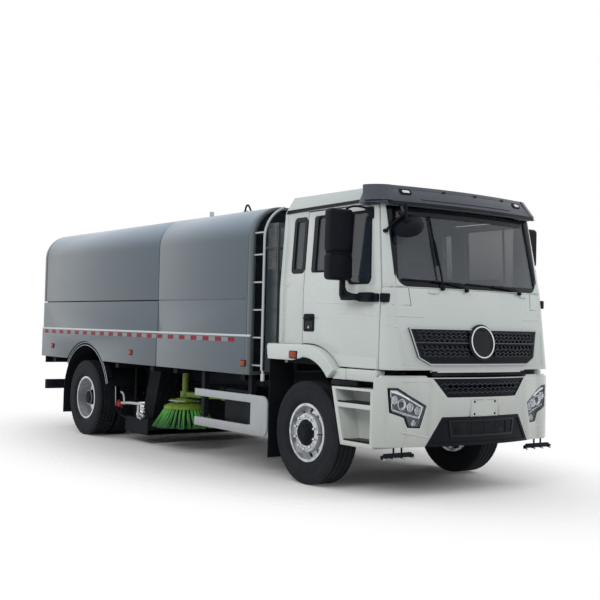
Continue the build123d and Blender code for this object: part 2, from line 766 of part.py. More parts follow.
def tyre(y):
    half = TYRE_WIDTH / 2
    tread = half - TREAD_INSET
    shoulder_y = half - SHOULDER_INSET
    shoulder = TYRE_R - SHOULDER_DROP
    belly = (RIM_FLANGE_R + shoulder) / 2
    return make_face([
        Line((y - RIM_HALF, RIM_SEAT_R), (y + RIM_HALF, RIM_SEAT_R)),
        Line((y + RIM_HALF, RIM_SEAT_R), (y + RIM_HALF, RIM_FLANGE_R)),
        ThreePointArc((y + RIM_HALF, RIM_FLANGE_R), (y + half, belly), (y + shoulder_y, shoulder)),
        Line((y + shoulder_y, shoulder), (y + tread, TYRE_R)),
        Line((y + tread, TYRE_R), (y - tread, TYRE_R)),
        Line((y - tread, TYRE_R), (y - shoulder_y, shoulder)),
        ThreePointArc((y - shoulder_y, shoulder), (y - half, belly), (y - RIM_HALF, RIM_FLANGE_R)),
        Line((y - RIM_HALF, RIM_FLANGE_R), (y - RIM_HALF, RIM_SEAT_R)),
    ])


def rim(y):
    """Rim barrel with a flange at each edge, as (y, radius)."""
    edge = RIM_HALF + RIM_FLANGE
    return outline([
        (y - edge, RIM_FLANGE_R), (y - RIM_HALF, RIM_FLANGE_R), (y - RIM_HALF, RIM_SEAT_R),
        (y + RIM_HALF, RIM_SEAT_R), (y + RIM_HALF, RIM_FLANGE_R), (y + edge, RIM_FLANGE_R),
        (y + edge, RIM_BORE_R), (y - edge, RIM_BORE_R),
    ])


def disc(y, lean):
    """Dished wheel disc: flat at y round the hub, its foot on the rim barrel lean away."""
    sign = 1 if lean > 0 else -1
    foot = RIM_BORE_R + OVERCUT
    return outline([
        (y + lean, foot), (y + lean + sign * DISC_FOOT, foot), (y + sign * DISC_WALL, DISC_R),
        (y + sign * DISC_WALL, HUB_R - OVERCUT), (y, HUB_R - OVERCUT), (y, DISC_R - DISC_WALL / 2),
    ])


def hand_holes(x, y):
    holes = []
    for index in range(HAND_HOLES):
        angle = 2 * pi * (index + 0.5) / HAND_HOLES
        place = (x + HAND_HOLE_RING * cos(angle), TYRE_R + HAND_HOLE_RING * sin(angle))
        holes.append(rod_y(*place, HAND_HOLE_R, y))
    return holes


def make_front_wheels():
    flat = FRONT_WHEEL_Y + FRONT_DISC_OUT + DISC_WALL
    block_in = KINGPIN_Y + EYE_R + SWING_GAP
    block = (block_in, block_in + YOKE_BLOCK)
    hub_out = FRONT_WHEEL_Y + FRONT_HUB_OUT
    bore = FRONT_SPINDLE_R + RUN_GAP
    profile = rim(FRONT_WHEEL_Y) + disc(flat, -FRONT_DISC_OUT + DISC_FOOT)
    profile += strip((block[1] + SWING_GAP, flat), (bore, HUB_R))
    profile += strip((flat - OVERCUT, hub_out), (bore, HUB_NOSE_R))
    profile += strip((hub_out - HUB_CAP, hub_out), (0, HUB_NOSE_R))
    wheel = turned(profile, FRONT_AXLE, TYRE_R)
    for hole in hand_holes(FRONT_AXLE, (FRONT_WHEEL_Y - DISC_FOOT, flat + DISC_FOOT)):
        wheel -= hole
    left_tyre = turned(tyre(FRONT_WHEEL_Y), FRONT_AXLE, TYRE_R)
    nodes["front_wheel_left"] = wheel
    nodes["front_wheel_right"] = other_side(wheel)
    nodes["front_tyre_left"] = left_tyre
    nodes["front_tyre_right"] = other_side(left_tyre)
    # Knuckle: kingpin, yoke round the axle's eye, spindle for the wheel
    low = TYRE_R - EYE_HALF - SEAT_GAP
    top = TYRE_R + EYE_HALF + SEAT_GAP
    yoke_z = (low - YOKE_PLATE, top + YOKE_PLATE)
    yoke_x = (FRONT_AXLE - YOKE_HALF, FRONT_AXLE + YOKE_HALF)
    block_x = (yoke_x[0] - YOKE_BLOCK / 2, yoke_x[1] + YOKE_BLOCK / 2)
    knuckle = rod_z(FRONT_AXLE, KINGPIN_Y, KINGPIN_R, yoke_z)
    for z in (yoke_z[0], top):
        knuckle += box(yoke_x, (KINGPIN_Y - YOKE_BACK, block[1]), (z, z + YOKE_PLATE))
    knuckle += box(block_x, block, yoke_z)
    spindle_y = (block[0] + YOKE_BLOCK / 2, hub_out - HUB_CAP - SWING_GAP)
    knuckle += rod_y(FRONT_AXLE, TYRE_R, FRONT_SPINDLE_R, spindle_y)
    nodes["knuckle_left"] = knuckle
    nodes["knuckle_right"] = other_side(knuckle)


def make_rear_wheels():
    middle = (REAR_INNER_Y + REAR_OUTER_Y) / 2
    hub_in = REAR_INNER_Y - AXLE_TUBE_END + SWING_GAP
    hub_step = middle + 2 * DISC_WALL
    hub_out = REAR_OUTER_Y + REAR_HUB_OUT
    bore = REAR_SPINDLE_R + RUN_GAP
    profile = rim(REAR_OUTER_Y) + rim(REAR_INNER_Y)
    for sign in (-1, 1):
        profile += disc(middle, sign * REAR_DISC_SPREAD)
    profile += strip((hub_in, hub_step), (bore, HUB_R))
    profile += strip((hub_step - OVERCUT, hub_out), (bore, HUB_NOSE_R))
    profile += strip((hub_out - HUB_CAP, hub_out), (0, HUB_NOSE_R))
    wheels = turned(profile, REAR_AXLE, TYRE_R)
    reach = REAR_DISC_SPREAD + 2 * DISC_FOOT
    for hole in hand_holes(REAR_AXLE, (middle - reach, middle + reach)):
        wheels -= hole
    tyres = together(*[turned(tyre(y), REAR_AXLE, TYRE_R) for y in (REAR_INNER_Y, REAR_OUTER_Y)])
    nodes["rear_wheels_left"] = wheels
    nodes["rear_wheels_right"] = other_side(wheels)
    nodes["rear_tyres_left"] = tyres
    nodes["rear_tyres_right"] = together(other_side(tyres))


def arch_profile(in_r, out_r):
    """Side view of the front wheel arch: a straight run behind the axle, then an arc forward to ARCH_END."""
    half = radians(ARCH_END / 2)
    end = radians(ARCH_END)
    low = ARCH_Z + in_r
    top = ARCH_Z + out_r

    def on(radius, angle):
        return (FRONT_AXLE + radius * sin(angle), ARCH_Z + radius * cos(angle))

    return make_face([
        Line((ARCH_REAR, low), (FRONT_AXLE, low)),
        ThreePointArc((FRONT_AXLE, low), on(in_r, half), on(in_r, end)),
        Line(on(in_r, end), on(out_r, end)),
        ThreePointArc(on(out_r, end), on(out_r, half), (FRONT_AXLE, top)),
        Line((FRONT_AXLE, top), (ARCH_REAR, top)),
        Line((ARCH_REAR, top), (ARCH_REAR, low)),
    ])


def make_cab():
    outer = cab_solid(0)
    shell = outer - cab_solid(CAB_WALL)
    glass = cab_solid(GLASS_DEEP) - cab_solid(GLASS_DEEP + GLASS_THICK)
    wide = (-2 * CAB_HALF, 2 * CAB_HALF)
    right = (wide[0], -CAB_HALF / 2)
    under = CAB_BOTTOM - OVERCUT
    behind = CAB_REAR - OVERCUT

    door_low = ARCH_TOP + DOOR_GAP
    door_top = ROOF_SPLIT - DOOR_GAP
    door_shape = [
        (DOOR_REAR, door_low), (FRONT_AXLE, door_low), (FRONT_AXLE, CAB_BOTTOM), (DOOR_FRONT, CAB_BOTTOM),
        (DOOR_FRONT, CAB_BELT), (DOOR_TOP_FRONT, door_top), (DOOR_REAR, door_top),
    ]
    door = shell & prism_xz(door_shape, right)
    door -= rod_y(FRONT_AXLE, ARCH_Z, ARCH_OUT_R + DOOR_GAP, right)
    door -= prism_xz(DOOR_WINDOW, right)
    door_glass = glass & prism_xz(shrunk(DOOR_WINDOW), right)
    pivot = (DOOR_FRONT - DOOR_PIVOT_BACK, -CAB_HALF + DOOR_PIVOT_IN)
    pin_top = CAB_BOTTOM + DOOR_PIN_LENGTH
    door -= rod_z(*pivot, DOOR_PIN_R + RUN_GAP, (under, pin_top + 2 * OVERCUT))
    nodes["door_right"] = door
    nodes["door_left"] = other_side(door)
    nodes["door_glass_right"] = door_glass
    nodes["door_glass_left"] = other_side(door_glass)

    below_roof = shell & box((behind, NOSE), wide, (under, ROOF_SPLIT))
    wall_front = CAB_REAR + CAB_WALL
    rear_wall = below_roof & box((behind, wall_front), wide, (under, ROOF_SPLIT))
    for side in (-1, 1):
        notch_y = on_side(side, (CAB_FLOOR_HALF, wide[1]))
        rear_wall -= box((behind, wall_front), notch_y, (under, ARCH_TOP))
    nodes["cab_rear_wall"] = rear_wall
    quarter = below_roof & box((wall_front, DOOR_REAR - DOOR_GAP), right, (ARCH_TOP, ROOF_SPLIT))
    nodes["cab_sides"] = pair(quarter - prism_xz(QUARTER_WINDOW, right))

    front_edge = [
        (DOOR_FRONT + DOOR_GAP, under), (DOOR_FRONT + DOOR_GAP, CAB_BELT),
        (DOOR_TOP_FRONT + DOOR_GAP, ROOF_SPLIT), (NOSE, ROOF_SPLIT), (NOSE, under),
    ]
    front = below_roof & prism_xz(front_edge, wide)
    nodes["cab_front_panel"] = front & box((CAB_REAR, NOSE), wide, (under, CAB_BELT))
    screen = mirrored([(SCREEN_HALF_LOW, SCREEN_LOW), (SCREEN_HALF_TOP, SCREEN_TOP)])
    forward = (FRONT_AXLE, NOSE)
    screen_frame = front & box((CAB_REAR, NOSE), wide, (CAB_BELT, ROOF_SPLIT))
    roof = shell & box((behind, NOSE), wide, (ROOF_SPLIT, CAB_TOP + OVERCUT))
    nodes["cab_roof"] = roof + (screen_frame - prism_yz(screen, forward))
    screen_glass = glass & prism_yz(shrunk(screen), forward)
    quarter_glass = glass & prism_xz(shrunk(QUARTER_WINDOW), right)
    nodes["cab_glass"] = together(screen_glass, pair(quarter_glass))

    # Floor, with the two tilt lugs under its front edge
    floor_y = (-CAB_FLOOR_HALF, CAB_FLOOR_HALF)
    floor = cab_solid(CAB_WALL) & box((wall_front, NOSE), floor_y, (CAB_BOTTOM, CAB_FLOOR_TOP))
    for side in (-1, 1):
        lug_y = on_side(side, TILT_LUG_Y)
        floor += rod_y(TILT_X, TILT_Z, TILT_EAR_R, lug_y)
        floor += box((TILT_X - TILT_LUG_BACK, TILT_X), lug_y, (TILT_Z - TILT_EAR_R, CAB_BOTTOM))
    nodes["cab_floor"] = floor - rod_y(TILT_X, TILT_Z, TILT_PIN_R + RUN_GAP, wide)

    # Wheel arch flare, the sill ahead of it, and the hinge pin in the sill that the door stands on
    arch_y = (-ARCH_HALF, -CAB_FLOOR_HALF)
    arch = extrude(Pos(0, arch_y[1], 0) * (Plane.XZ * arch_profile(ARCH_IN_R, ARCH_OUT_R)),
                   amount=arch_y[1] - arch_y[0])
    sill = box((SILL_REAR, BUMPER_REAR - SILL_LAP), (-SILL_HALF, -CAB_FLOOR_HALF), (SILL_LOW, SILL_TOP))
    sill -= rod_y(FRONT_AXLE, ARCH_Z, ARCH_OUT_R - SILL_LAP, wide)
    pin = rod_z(*pivot, DOOR_PIN_R, (SILL_TOP - DOOR_PIN_SEAT, pin_top))
    nodes["front_fenders"] = pair(arch + sill + pin)

    # Sun visor: over the doors it stays above their swing, ahead of their hinges it hangs lower
    visor = cab_solid(-VISOR_OUT)
    visor_top = CAB_TOP - VISOR_TOP_DROP
    hinge_front = DOOR_FRONT - DOOR_PIVOT_BACK + SWING_GAP
    arms = visor & box((VISOR_REAR, NOSE), wide, (ROOF_SPLIT, visor_top))
    brow = visor & box((hinge_front, NOSE), wide, (CAB_DRIP - VISOR_DROP, visor_top))
    nodes["sun_visor"] = arms + brow - outer

    grille_half = raised(GRILLE_SHAPE, CAB_BOTTOM)
    grille = cab_solid(-GRILLE_OUT) & prism_yz(mirrored(grille_half), (FRONT_AXLE, NOSE + GRILLE_OUT))
    nodes["upper_grille"] = grille - outer - hex_mesh(grille_half, GRILLE_BORDER, (FRONT_AXLE, NOSE + GRILLE_OUT))


def make_cab_inside():
    seats = []
    for y in (-SEAT_Y, SEAT_Y):
        blocks = []
        for rear, front, half, low, top in SEAT_BLOCKS:
            blocks.append(box((FRONT_AXLE + rear, FRONT_AXLE + front), (y - half, y + half),
                              (CAB_FLOOR_TOP + low, CAB_FLOOR_TOP + top)))
        seats.append(blocks[0] + blocks[1] + blocks[2])
    nodes["seats"] = together(*seats)
    dash = box((DASH_REAR, DASH_FRONT), (-DASH_HALF, DASH_HALF), (DASH_LOW, DASH_TOP))
    console_x = (DASH_REAR + CONSOLE_INSET, DASH_FRONT - CONSOLE_INSET)
    dash += box(console_x, (-CONSOLE_HALF, CONSOLE_HALF), (CAB_FLOOR_TOP, DASH_LOW))
    ring = Torus(STEERING_R, STEERING_RIM_R) + Cylinder(STEERING_BOSS_R, STEERING_SPOKE)
    ring += Box(2 * STEERING_R, STEERING_SPOKE, STEERING_RIM_R)
    ring += Pos(0, 0, -STEERING_COLUMN / 2) * Cylinder(STEERING_COLUMN_R, STEERING_COLUMN)
    hub_x = DASH_REAR - STEERING_AHEAD
    dash += Pos(hub_x, SEAT_Y, DASH_TOP) * (Rot(0, -STEERING_TILT, 0) * ring)
    shroud_y = (SEAT_Y - COLUMN_SHROUD / 2, SEAT_Y + COLUMN_SHROUD / 2)
    shroud_x = (DASH_REAR - STEERING_AHEAD + STEERING_BOSS_R, DASH_REAR + CONSOLE_INSET)
    shroud_low = DASH_TOP - STEERING_COLUMN * cos(radians(STEERING_TILT)) - STEERING_COLUMN_R
    dash += box(shroud_x, shroud_y, (shroud_low, shroud_low + 2 * COLUMN_SHROUD / 3 * 2))
    nodes["dashboard"] = dash


def make_mirrors():
    housing = box(MIRROR_X, on_side(-1, MIRROR_Y), MIRROR_Z)
    housing = fillet(housing.edges().filter_by(Axis.Z), MIRROR_CORNER_R)
    for rear, front, inner, outer, low, top in MIRROR_BLOCKS:
        arm_y = on_side(-1, (CAB_HALF + inner, CAB_HALF + outer))
        housing += box((DOOR_FRONT + rear, DOOR_FRONT + front), arm_y, (CAB_BELT + low, CAB_BELT + top))
    nodes["mirror_right"] = housing
    nodes["mirror_left"] = other_side(housing)
    # Round mirror hanging from the visor over the right-hand corner of the windscreen
    x, y, z = ROUND_MIRROR_X, -ROUND_MIRROR_Y, ROUND_MIRROR_Z
    dome = Pos(x, y, z) * (Rot(0, 90, 0) * Cylinder(ROUND_MIRROR_R, ROUND_MIRROR_DEEP))
    dome = fillet(dome.edges(), ROUND_MIRROR_EDGE)
    half = ROUND_STEM / 2
    foot = z + ROUND_MIRROR_R - 2 * ROUND_STEM
    head = CAB_DRIP - VISOR_DROP + ROUND_MIRROR_EDGE
    stem = [(x - half, foot), (x + half, foot), (x + half - ROUND_STEM_LEAN, head), (x - half - ROUND_STEM_LEAN, head)]
    nodes["sun_visor"] += dome + prism_xz(stem, (y - half, y + half))


def make_bumper():
    front = (FRONT_AXLE, NOSE + OVERCUT)
    skin = bumper_layer(0, BUMPER_WALL)
    lamp_shape = [(BUMPER_HALF - inward, BUMPER_LOW + up) for inward, up in LAMP_SHAPE]
    lamp_holes = [[(sign * y, z) for y, z in lamp_shape] for sign in (-1, 1)]
    lower_half = raised(LOWER_GRILLE, BUMPER_LOW)
    lower = mirrored(lower_half)
    valance = mirrored(raised(VALANCE, BUMPER_LOW))
    for hole in (*lamp_holes, lower, valance):
        skin -= prism_yz(hole, front)
    pad_half = PLATE_SPACING_Y / 2 + PLATE_PAD_Y
    pad_rise = PLATE_SPACING_Z / 2 + PLATE_PAD_Z
    skin += box((NOSE - PLATE_PAD_DEEP, NOSE), (-pad_half, pad_half), (PLATE_Z - pad_rise, PLATE_Z + pad_rise))
    for y in (-PLATE_SPACING_Y / 2, PLATE_SPACING_Y / 2):
        for z in (PLATE_Z - PLATE_SPACING_Z / 2, PLATE_Z + PLATE_SPACING_Z / 2):
            skin -= rod_x(y, z, PLATE_HOLE_R, (NOSE - 2 * PLATE_PAD_DEEP, NOSE + OVERCUT))
    inside = bumper_solid(bumper_plan(BUMPER_WALL))
    for side in (-1, 1):
        arm_z = (RAIL_LOW + BUMPER_ARM[0], RAIL_LOW + BUMPER_ARM[1])
        skin += box((RAIL_FRONT, NOSE), on_side(side, (RAIL_IN, RAIL_OUT)), arm_z) & inside
    nodes["front_bumper"] = skin

    # Black trim in the bumper: meshed lower grille, valance, and the spray bars under the corners
    black = bumper_layer(TRIM_DEEP, BUMPER_WALL - TRIM_DEEP)
    mesh_half = [(half_at(lower_half, z), z) for z in (lower_half[0][1] - LOWER_GRILLE_STRIP, lower_half[1][1])]
    mesh = black & prism_yz(shrunk(lower), front)
    mesh -= hex_mesh(mesh_half, HEX_WALL, front)
    apron = black & prism_yz(shrunk(valance), front)
    apron -= rod_x(TOW_Y, TOW_Z, TOW_TUBE_R + SEAT_GAP, front)
    bars = []
    bar_x = NOSE - SPRAY_BACK
    bar_z = BUMPER_LOW - SPRAY_BAR_DROP
    for side in (-1, 1):
        bar = rod_y(bar_x, bar_z, SPRAY_BAR_R, on_side(side, SPRAY_BAR_Y))
        for y in (SPRAY_BAR_Y[0] + SPRAY_STEM_IN, SPRAY_BAR_Y[1] - SPRAY_STEM_IN):
            bar += rod_z(bar_x, side * y, SPRAY_STEM_R, (bar_z, BUMPER_LOW))
        bars.append(bar)
    nodes["bumper_trim"] = together(mesh, apron, *bars)

    lamp_layer = bumper_layer(LAMP_DEEP, BUMPER_WALL - LAMP_DEEP)
    lamps = [lamp_layer & prism_yz(shrunk(hole), front) for hole in lamp_holes]
    for side in (-1, 1):
        lamps.append(box((TAIL, TAIL + REAR_PANEL_BACK), on_side(side, REAR_LAMP_Y), REAR_LAMP_Z))
    nodes["lamps"] = together(*lamps)


def make_steps():
    side_view = [(STEP_TOP_X, STEP_TOP), (BUMPER_REAR, STEP_TOP), (BUMPER_REAR, STEP_LOW), (STEP_LOW_X, STEP_LOW)]
    step = prism_xz(side_view, (-STEP_OUT, -STEP_IN))
    slope = (STEP_LOW_X - STEP_TOP_X) / (STEP_TOP - STEP_LOW)
    pockets = [(STEP_LOW + TREAD_THICK, TREAD_Z - TREAD_THICK), (TREAD_Z, STEP_TOP - STEP_MARGIN / 2)]
    for low, top in pockets:
        rear_low = STEP_LOW_X - slope * (low - STEP_LOW) + STEP_MARGIN
        rear_top = STEP_LOW_X - slope * (top - STEP_LOW) + STEP_MARGIN
        pocket_front = BUMPER_REAR - STEP_MARGIN
        pocket = [(rear_low, low), (pocket_front, low), (pocket_front, top), (rear_top, top)]
        step -= prism_xz(pocket, (-STEP_OUT - OVERCUT, -STEP_IN - STEP_BACK))
    step += box(STEP_ARM_X, (-STEP_IN, -RAIL_OUT), STEP_ARM_Z)
    nodes["cab_steps"] = pair(step)


def make_mudguards():
    flap_x = (FRONT_FLAP_X, FRONT_FLAP_X + FRONT_FLAP_THICK)
    flap = box(flap_x, on_side(-1, FRONT_FLAP_Y), FRONT_FLAP_Z)
    flap += box((FRONT_FLAP_X - FLAP_ARM, FRONT_FLAP_X), (-FLAP_ARM_END, -RAIL_OUT), FLAP_ARM_Z)
    y = (-MUDGUARD_OUT, -MUDGUARD_IN)
    inner = rod_y(REAR_AXLE, TYRE_R, MUDGUARD_R - MUDGUARD_WALL, y)
    guard = rod_y(REAR_AXLE, TYRE_R, MUDGUARD_R, y) - inner
    far = 2 * MUDGUARD_R
    rear_part = box((REAR_AXLE - far, REAR_AXLE), y, (TYRE_R, TYRE_R + far))
    front_part = box((REAR_AXLE, REAR_AXLE + far), y, (MUDGUARD_FRONT_Z, TYRE_R + far))
    guard &= rear_part + front_part
    flap_front = REAR_AXLE - MUDGUARD_R
    guard += box((flap_front, flap_front + MUDGUARD_WALL), y, (FLAP_LOW, TYRE_R))
    arm_z = TYRE_R + sqrt(MUDGUARD_R ** 2 - MUDGUARD_ARM_X ** 2) - MUDGUARD_ARM_R - MUDGUARD_WALL
    for x in (REAR_AXLE - MUDGUARD_ARM_X, REAR_AXLE + MUDGUARD_ARM_X):
        arm_y = (-MUDGUARD_IN - MUDGUARD_ARM_LAP, -RAIL_OUT)
        guard += rod_y(x, arm_z, MUDGUARD_ARM_R, arm_y) - inner
    nodes["mudguards"] = together(pair(flap), pair(guard))


def make_side_guards():
    y = (-GUARD_OUT, -GUARD_OUT + GUARD_THICK)
    low, top = GUARD_BARS
    panel = box((GUARD_PANEL, GUARD_FRONT), y, (low[0], top[1]))
    guard = fillet(panel.edges().filter_by(Axis.Y).group_by(Axis.X)[-1], GUARD_CORNER_R)
    for z in GUARD_BARS:
        guard += box((GUARD_REAR, GUARD_PANEL), y, z)
    for x in GUARD_POSTS:
        guard += box((x - GUARD_POST / 2, x + GUARD_POST / 2), (y[1], y[1] + GUARD_POST), (low[0], BODY_LOW))
    nodes["side_guards"] = pair(guard)
    boxes = []
    for side, rear, front, box_low, box_top, edge, brackets in SIDE_BOXES:
        tank = box((FRONT_AXLE + rear, FRONT_AXLE + front), on_side(side, SIDE_BOX_Y), (box_low, box_top))
        tank = fillet(tank.edges().filter_by(Axis.X), edge)
        arm_y = on_side(side, (RAIL_OUT, SIDE_BOX_Y[0] + SIDE_BOX_LAP))
        for bracket in brackets:
            arm_x = (FRONT_AXLE + bracket, FRONT_AXLE + bracket + SIDE_BOX_ARM)
            tank += box(arm_x, arm_y, SIDE_BOX_ARM_Z)
        boxes.append(tank)
    nodes["side_tanks"] = together(*boxes)


def body_profile(inset, low, ledge):
    """Front view of the sweeper body; ledge is how far the lower band stands out."""
    half = BODY_HALF - inset
    top = BODY_TOP - inset
    radius = BODY_ROOF_R - inset
    bend = radius * sin(radians(45))
    centre = (half - radius, top - radius)
    corners = []
    for sign in (1, -1):
        bend_point = (sign * (centre[0] + bend), centre[1] + bend)
        corners.append(ThreePointArc((sign * half, centre[1]), bend_point, (sign * centre[0], top)))
    lower = [(half, centre[1]), (half, low)]
    if ledge:
        lower = [(half, centre[1]), (half, BODY_LEDGE), (half + ledge, BODY_LEDGE), (half + ledge, low)]
    return make_face([
        *corners, Polyline(*lower), Polyline(*[(-y, z) for y, z in lower]),
        Line((centre[0], top), (-centre[0], top)),
        Line(lower[-1], (-lower[-1][0], low)),
    ])


def along(face, x):
    return extrude(Pos(x[0], 0, 0) * (Plane.YZ * face), amount=x[1] - x[0])


def make_body():
    outer = body_profile(0, BODY_LOW, BODY_PROUD)
    inner = body_profile(BODY_WALL, BODY_LOW + BODY_WALL, 0)
    band = BODY_FRONT - FRONT_BAND
    shell = along(outer, (BODY_SPLIT, band)) - along(inner, (BODY_SPLIT + BODY_WALL, band))
    groove_z = (BODY_SEAM - SEAM_GROOVE, BODY_SEAM + SEAM_GROOVE)
    groove = box((BODY_SPLIT, band), (-2 * BODY_HALF, -BODY_HALF + SEAM_GROOVE), groove_z)
    shell -= groove
    shell -= other_side(groove)
    # Lifting eyes and the leaning vent stub on the roof
    for x in ROOF_EYES:
        eye = Pos(x, ROOF_EYE_Y, BODY_TOP) * (Rot(90, 0, 0) * Torus(ROOF_EYE_R, ROOF_EYE_WIRE_R))
        shell += eye & box((x - BODY_HALF, x + BODY_HALF), (-BODY_HALF, 0), (BODY_TOP - OVERCUT, CAB_TOP))
    vent = Pos(ROOF_VENT_X, ROOF_EYE_Y, BODY_TOP) * (Rot(0, -25, 0) * Cylinder(ROOF_VENT_R, 2 * ROOF_VENT_RISE))
    shell += vent & box((band - BODY_HALF, band), (-BODY_HALF, 0), (BODY_TOP - OVERCUT, BODY_TOP + ROOF_VENT_RISE))
    nodes["body_front_shell"] = shell
    nodes["body_front_frame"] = along(outer, (band, BODY_FRONT)) - along(inner, (band, BODY_FRONT))
    nodes["body_front_wall"] = along(inner, (band, BODY_FRONT - FRONT_INSET))

    skirt_top = BODY_SEAM - BODY_GAP / 2
    proud = BODY_HALF + BODY_PROUD
    skirt_view = [
        (-SKIRT_IN, BODY_LOW), (-proud, BODY_LOW), (-proud, BODY_LEDGE), (-BODY_HALF, BODY_LEDGE),
        (-BODY_HALF, skirt_top), (-SKIRT_IN, skirt_top),
    ]
    skirt = prism_yz(skirt_view, (TAIL, BODY_SPLIT))
    skirt -= rod_y(REAR_AXLE, TYRE_R, ARCH_CUT_R, (-2 * BODY_HALF, 0))
    nodes["side_skirts"] = pair(skirt)

    # Subframe on the rails, with the tip hinge ears at its rear end
    panel_front = TAIL + REAR_PANEL_BACK + REAR_PANEL
    subframe = box((TAIL + REAR_PANEL_BACK, panel_front), (-SKIRT_IN, SKIRT_IN), (REAR_PANEL_LOW, BEARER_LOW))
    for side in (-1, 1):
        subframe += box((panel_front, BODY_FRONT), on_side(side, (RAIL_IN, RAIL_OUT)), (RAIL_TOP, BODY_LOW))
    under = BEARER_LOW - SWING_GAP
    fixed_half = SKIRT_IN - 1.5 * BODY_WALL
    cross_beams = [
        # middle x, half width, top
        (BODY_FRONT - 300, fixed_half, BODY_LOW),
        (BODY_SPLIT + 300, fixed_half, BODY_LOW),
        (BODY_SPLIT - 200, SKIRT_IN, under),
        (NOZZLE_BEAM_X, SKIRT_IN, under),
        (TAIL + 380, SKIRT_IN, under),
    ]
    for x, half, top in cross_beams:
        subframe += box((x - CROSS_BEAM / 2, x + CROSS_BEAM / 2), (-half, half), (RAIL_TOP + BEAM_SEAT, top))
    ear_in = (RAIL_IN - TIP_EAR_GAP - TIP_EAR_WALL, RAIL_IN - TIP_EAR_GAP)
    ear_out = (RAIL_OUT + TIP_EAR_GAP, RAIL_OUT + TIP_EAR_GAP + TIP_EAR_WALL)
    ear_x = (TIP_X - TIP_EAR_R, TIP_X + TIP_EAR_R)
    for side in (-1, 1):
        for ear in (ear_in, ear_out):
            subframe += box(ear_x, on_side(side, ear), (RAIL_TOP, TIP_Z))
            subframe += rod_y(TIP_X, TIP_Z, TIP_EAR_R, on_side(side, ear))
        across = on_side(side, (ear_in[0], ear_out[1]))
        subframe += box(ear_x, across, (RAIL_TOP, RAIL_TOP + SUBFRAME_DEPTH / 2))
        subframe += rod_y(TIP_X, TIP_Z, TIP_PIN_R, across)
    nodes["body_subframe"] = subframe


def make_hopper():
    seam = BODY_SEAM + BODY_GAP / 2
    tub_top = seam + BODY_WALL
    front = BODY_SPLIT - BODY_GAP
    pivot_x = TAIL + TAILGATE_THICK
    rear = pivot_x + SWING_GAP
    upper = body_profile(0, seam, 0)
    inside = (rear - OVERCUT, front - BODY_WALL)
    tub_in = HOPPER_TUB_HALF - BODY_WALL
    hopper = along(upper, (rear, front))
    hopper += box((rear, front), (-HOPPER_TUB_HALF, HOPPER_TUB_HALF), (HOPPER_FLOOR, tub_top))
    hopper -= box(inside, (-tub_in, tub_in), (HOPPER_FLOOR + BODY_WALL, tub_top))
    hopper -= along(body_profile(BODY_WALL, tub_top, 0), inside)
    for side in (-1, 1):
        lug_y = on_side(side, (RAIL_IN, RAIL_OUT))
        hopper += box((rear, front - BEARER_SHORT), lug_y, (BEARER_LOW, HOPPER_FLOOR))
        hopper += rod_y(TIP_X, TIP_Z, TIP_LUG_R, lug_y)
    hopper -= rod_y(TIP_X, TIP_Z, TIP_PIN_R + RUN_GAP, (-BODY_HALF, BODY_HALF))
    gate = along(upper, (TAIL, pivot_x))
    gate += box((TAIL, pivot_x), (-HOPPER_TUB_HALF, HOPPER_TUB_HALF), (HOPPER_FLOOR, tub_top))
    # Sunk panels between the gate's ribs
    panel_half = HOPPER_TUB_HALF - TAILGATE_RIB
    panel_x = (TAIL - OVERCUT, TAIL + TAILGATE_PANEL)
    panel_rows = [
        (HOPPER_FLOOR + TAILGATE_RIB, BODY_SEAM), (BODY_SEAM + TAILGATE_RIB, BODY_TOP - BODY_ROOF_R),
    ]
    for side in (-1, 1):
        for row in panel_rows:
            gate -= box(panel_x, on_side(side, (TAILGATE_RIB / 2, panel_half)), row)
    # Tailgate hinge: an ear with the pin on the hopper's roof, a lug beside it on the gate
    for y in (-GATE_HINGE_Y, GATE_HINGE_Y):
        lug_y = (y - GATE_LUG_HALF, y + GATE_LUG_HALF)
        ear_y = (lug_y[0] - GATE_LUG_GAP - GATE_EAR_WALL, lug_y[0] - GATE_LUG_GAP)
        hopper += box((rear, rear + GATE_EAR_LENGTH), ear_y, (BODY_TOP - GATE_SEAT, GATE_PIN_Z))
        hopper += box((pivot_x, rear), ear_y, (GATE_PIN_Z - GATE_EAR_R, GATE_PIN_Z))
        hopper += rod_y(pivot_x, GATE_PIN_Z, GATE_EAR_R, ear_y)
        hopper += rod_y(pivot_x, GATE_PIN_Z, GATE_PIN_R, (ear_y[0], lug_y[1] + GATE_LUG_GAP))
        gate += rod_y(pivot_x, GATE_PIN_Z, GATE_EAR_R, lug_y)
        gate += box((TAIL + GATE_EAR_WALL, pivot_x), lug_y, (BODY_TOP - GATE_SEAT, GATE_PIN_Z + GATE_SEAT))
        gate -= rod_y(pivot_x, GATE_PIN_Z, GATE_PIN_R + RUN_GAP, (y - BODY_HALF / 4, y + BODY_HALF / 4))
    nodes["hopper_box"] = hopper
    nodes["tailgate"] = gate


def brush_tuft(x, y, angle):
    """One flat bundle of bristles that leans outwards and widens from the plate to its tip."""
    sections = []
    for z, radius, width in (
            (BRUSH_PLATE_Z + TUFT_SEAT, BRUSH_PLATE_R - TUFT_DEEP / 2 - TUFT_SEAT, TUFT_TOP_WIDTH),
            (BRUSH_LOW, BRUSH_R - TUFT_DEEP / 2 - TUFT_SEAT, TUFT_LOW_WIDTH)):
        sections.append(Pos(x, y, z) * (Rot(0, 0, angle) * (Pos(radius, 0, 0) * Rectangle(TUFT_DEEP, width))))
    return loft(sections, ruled=True)


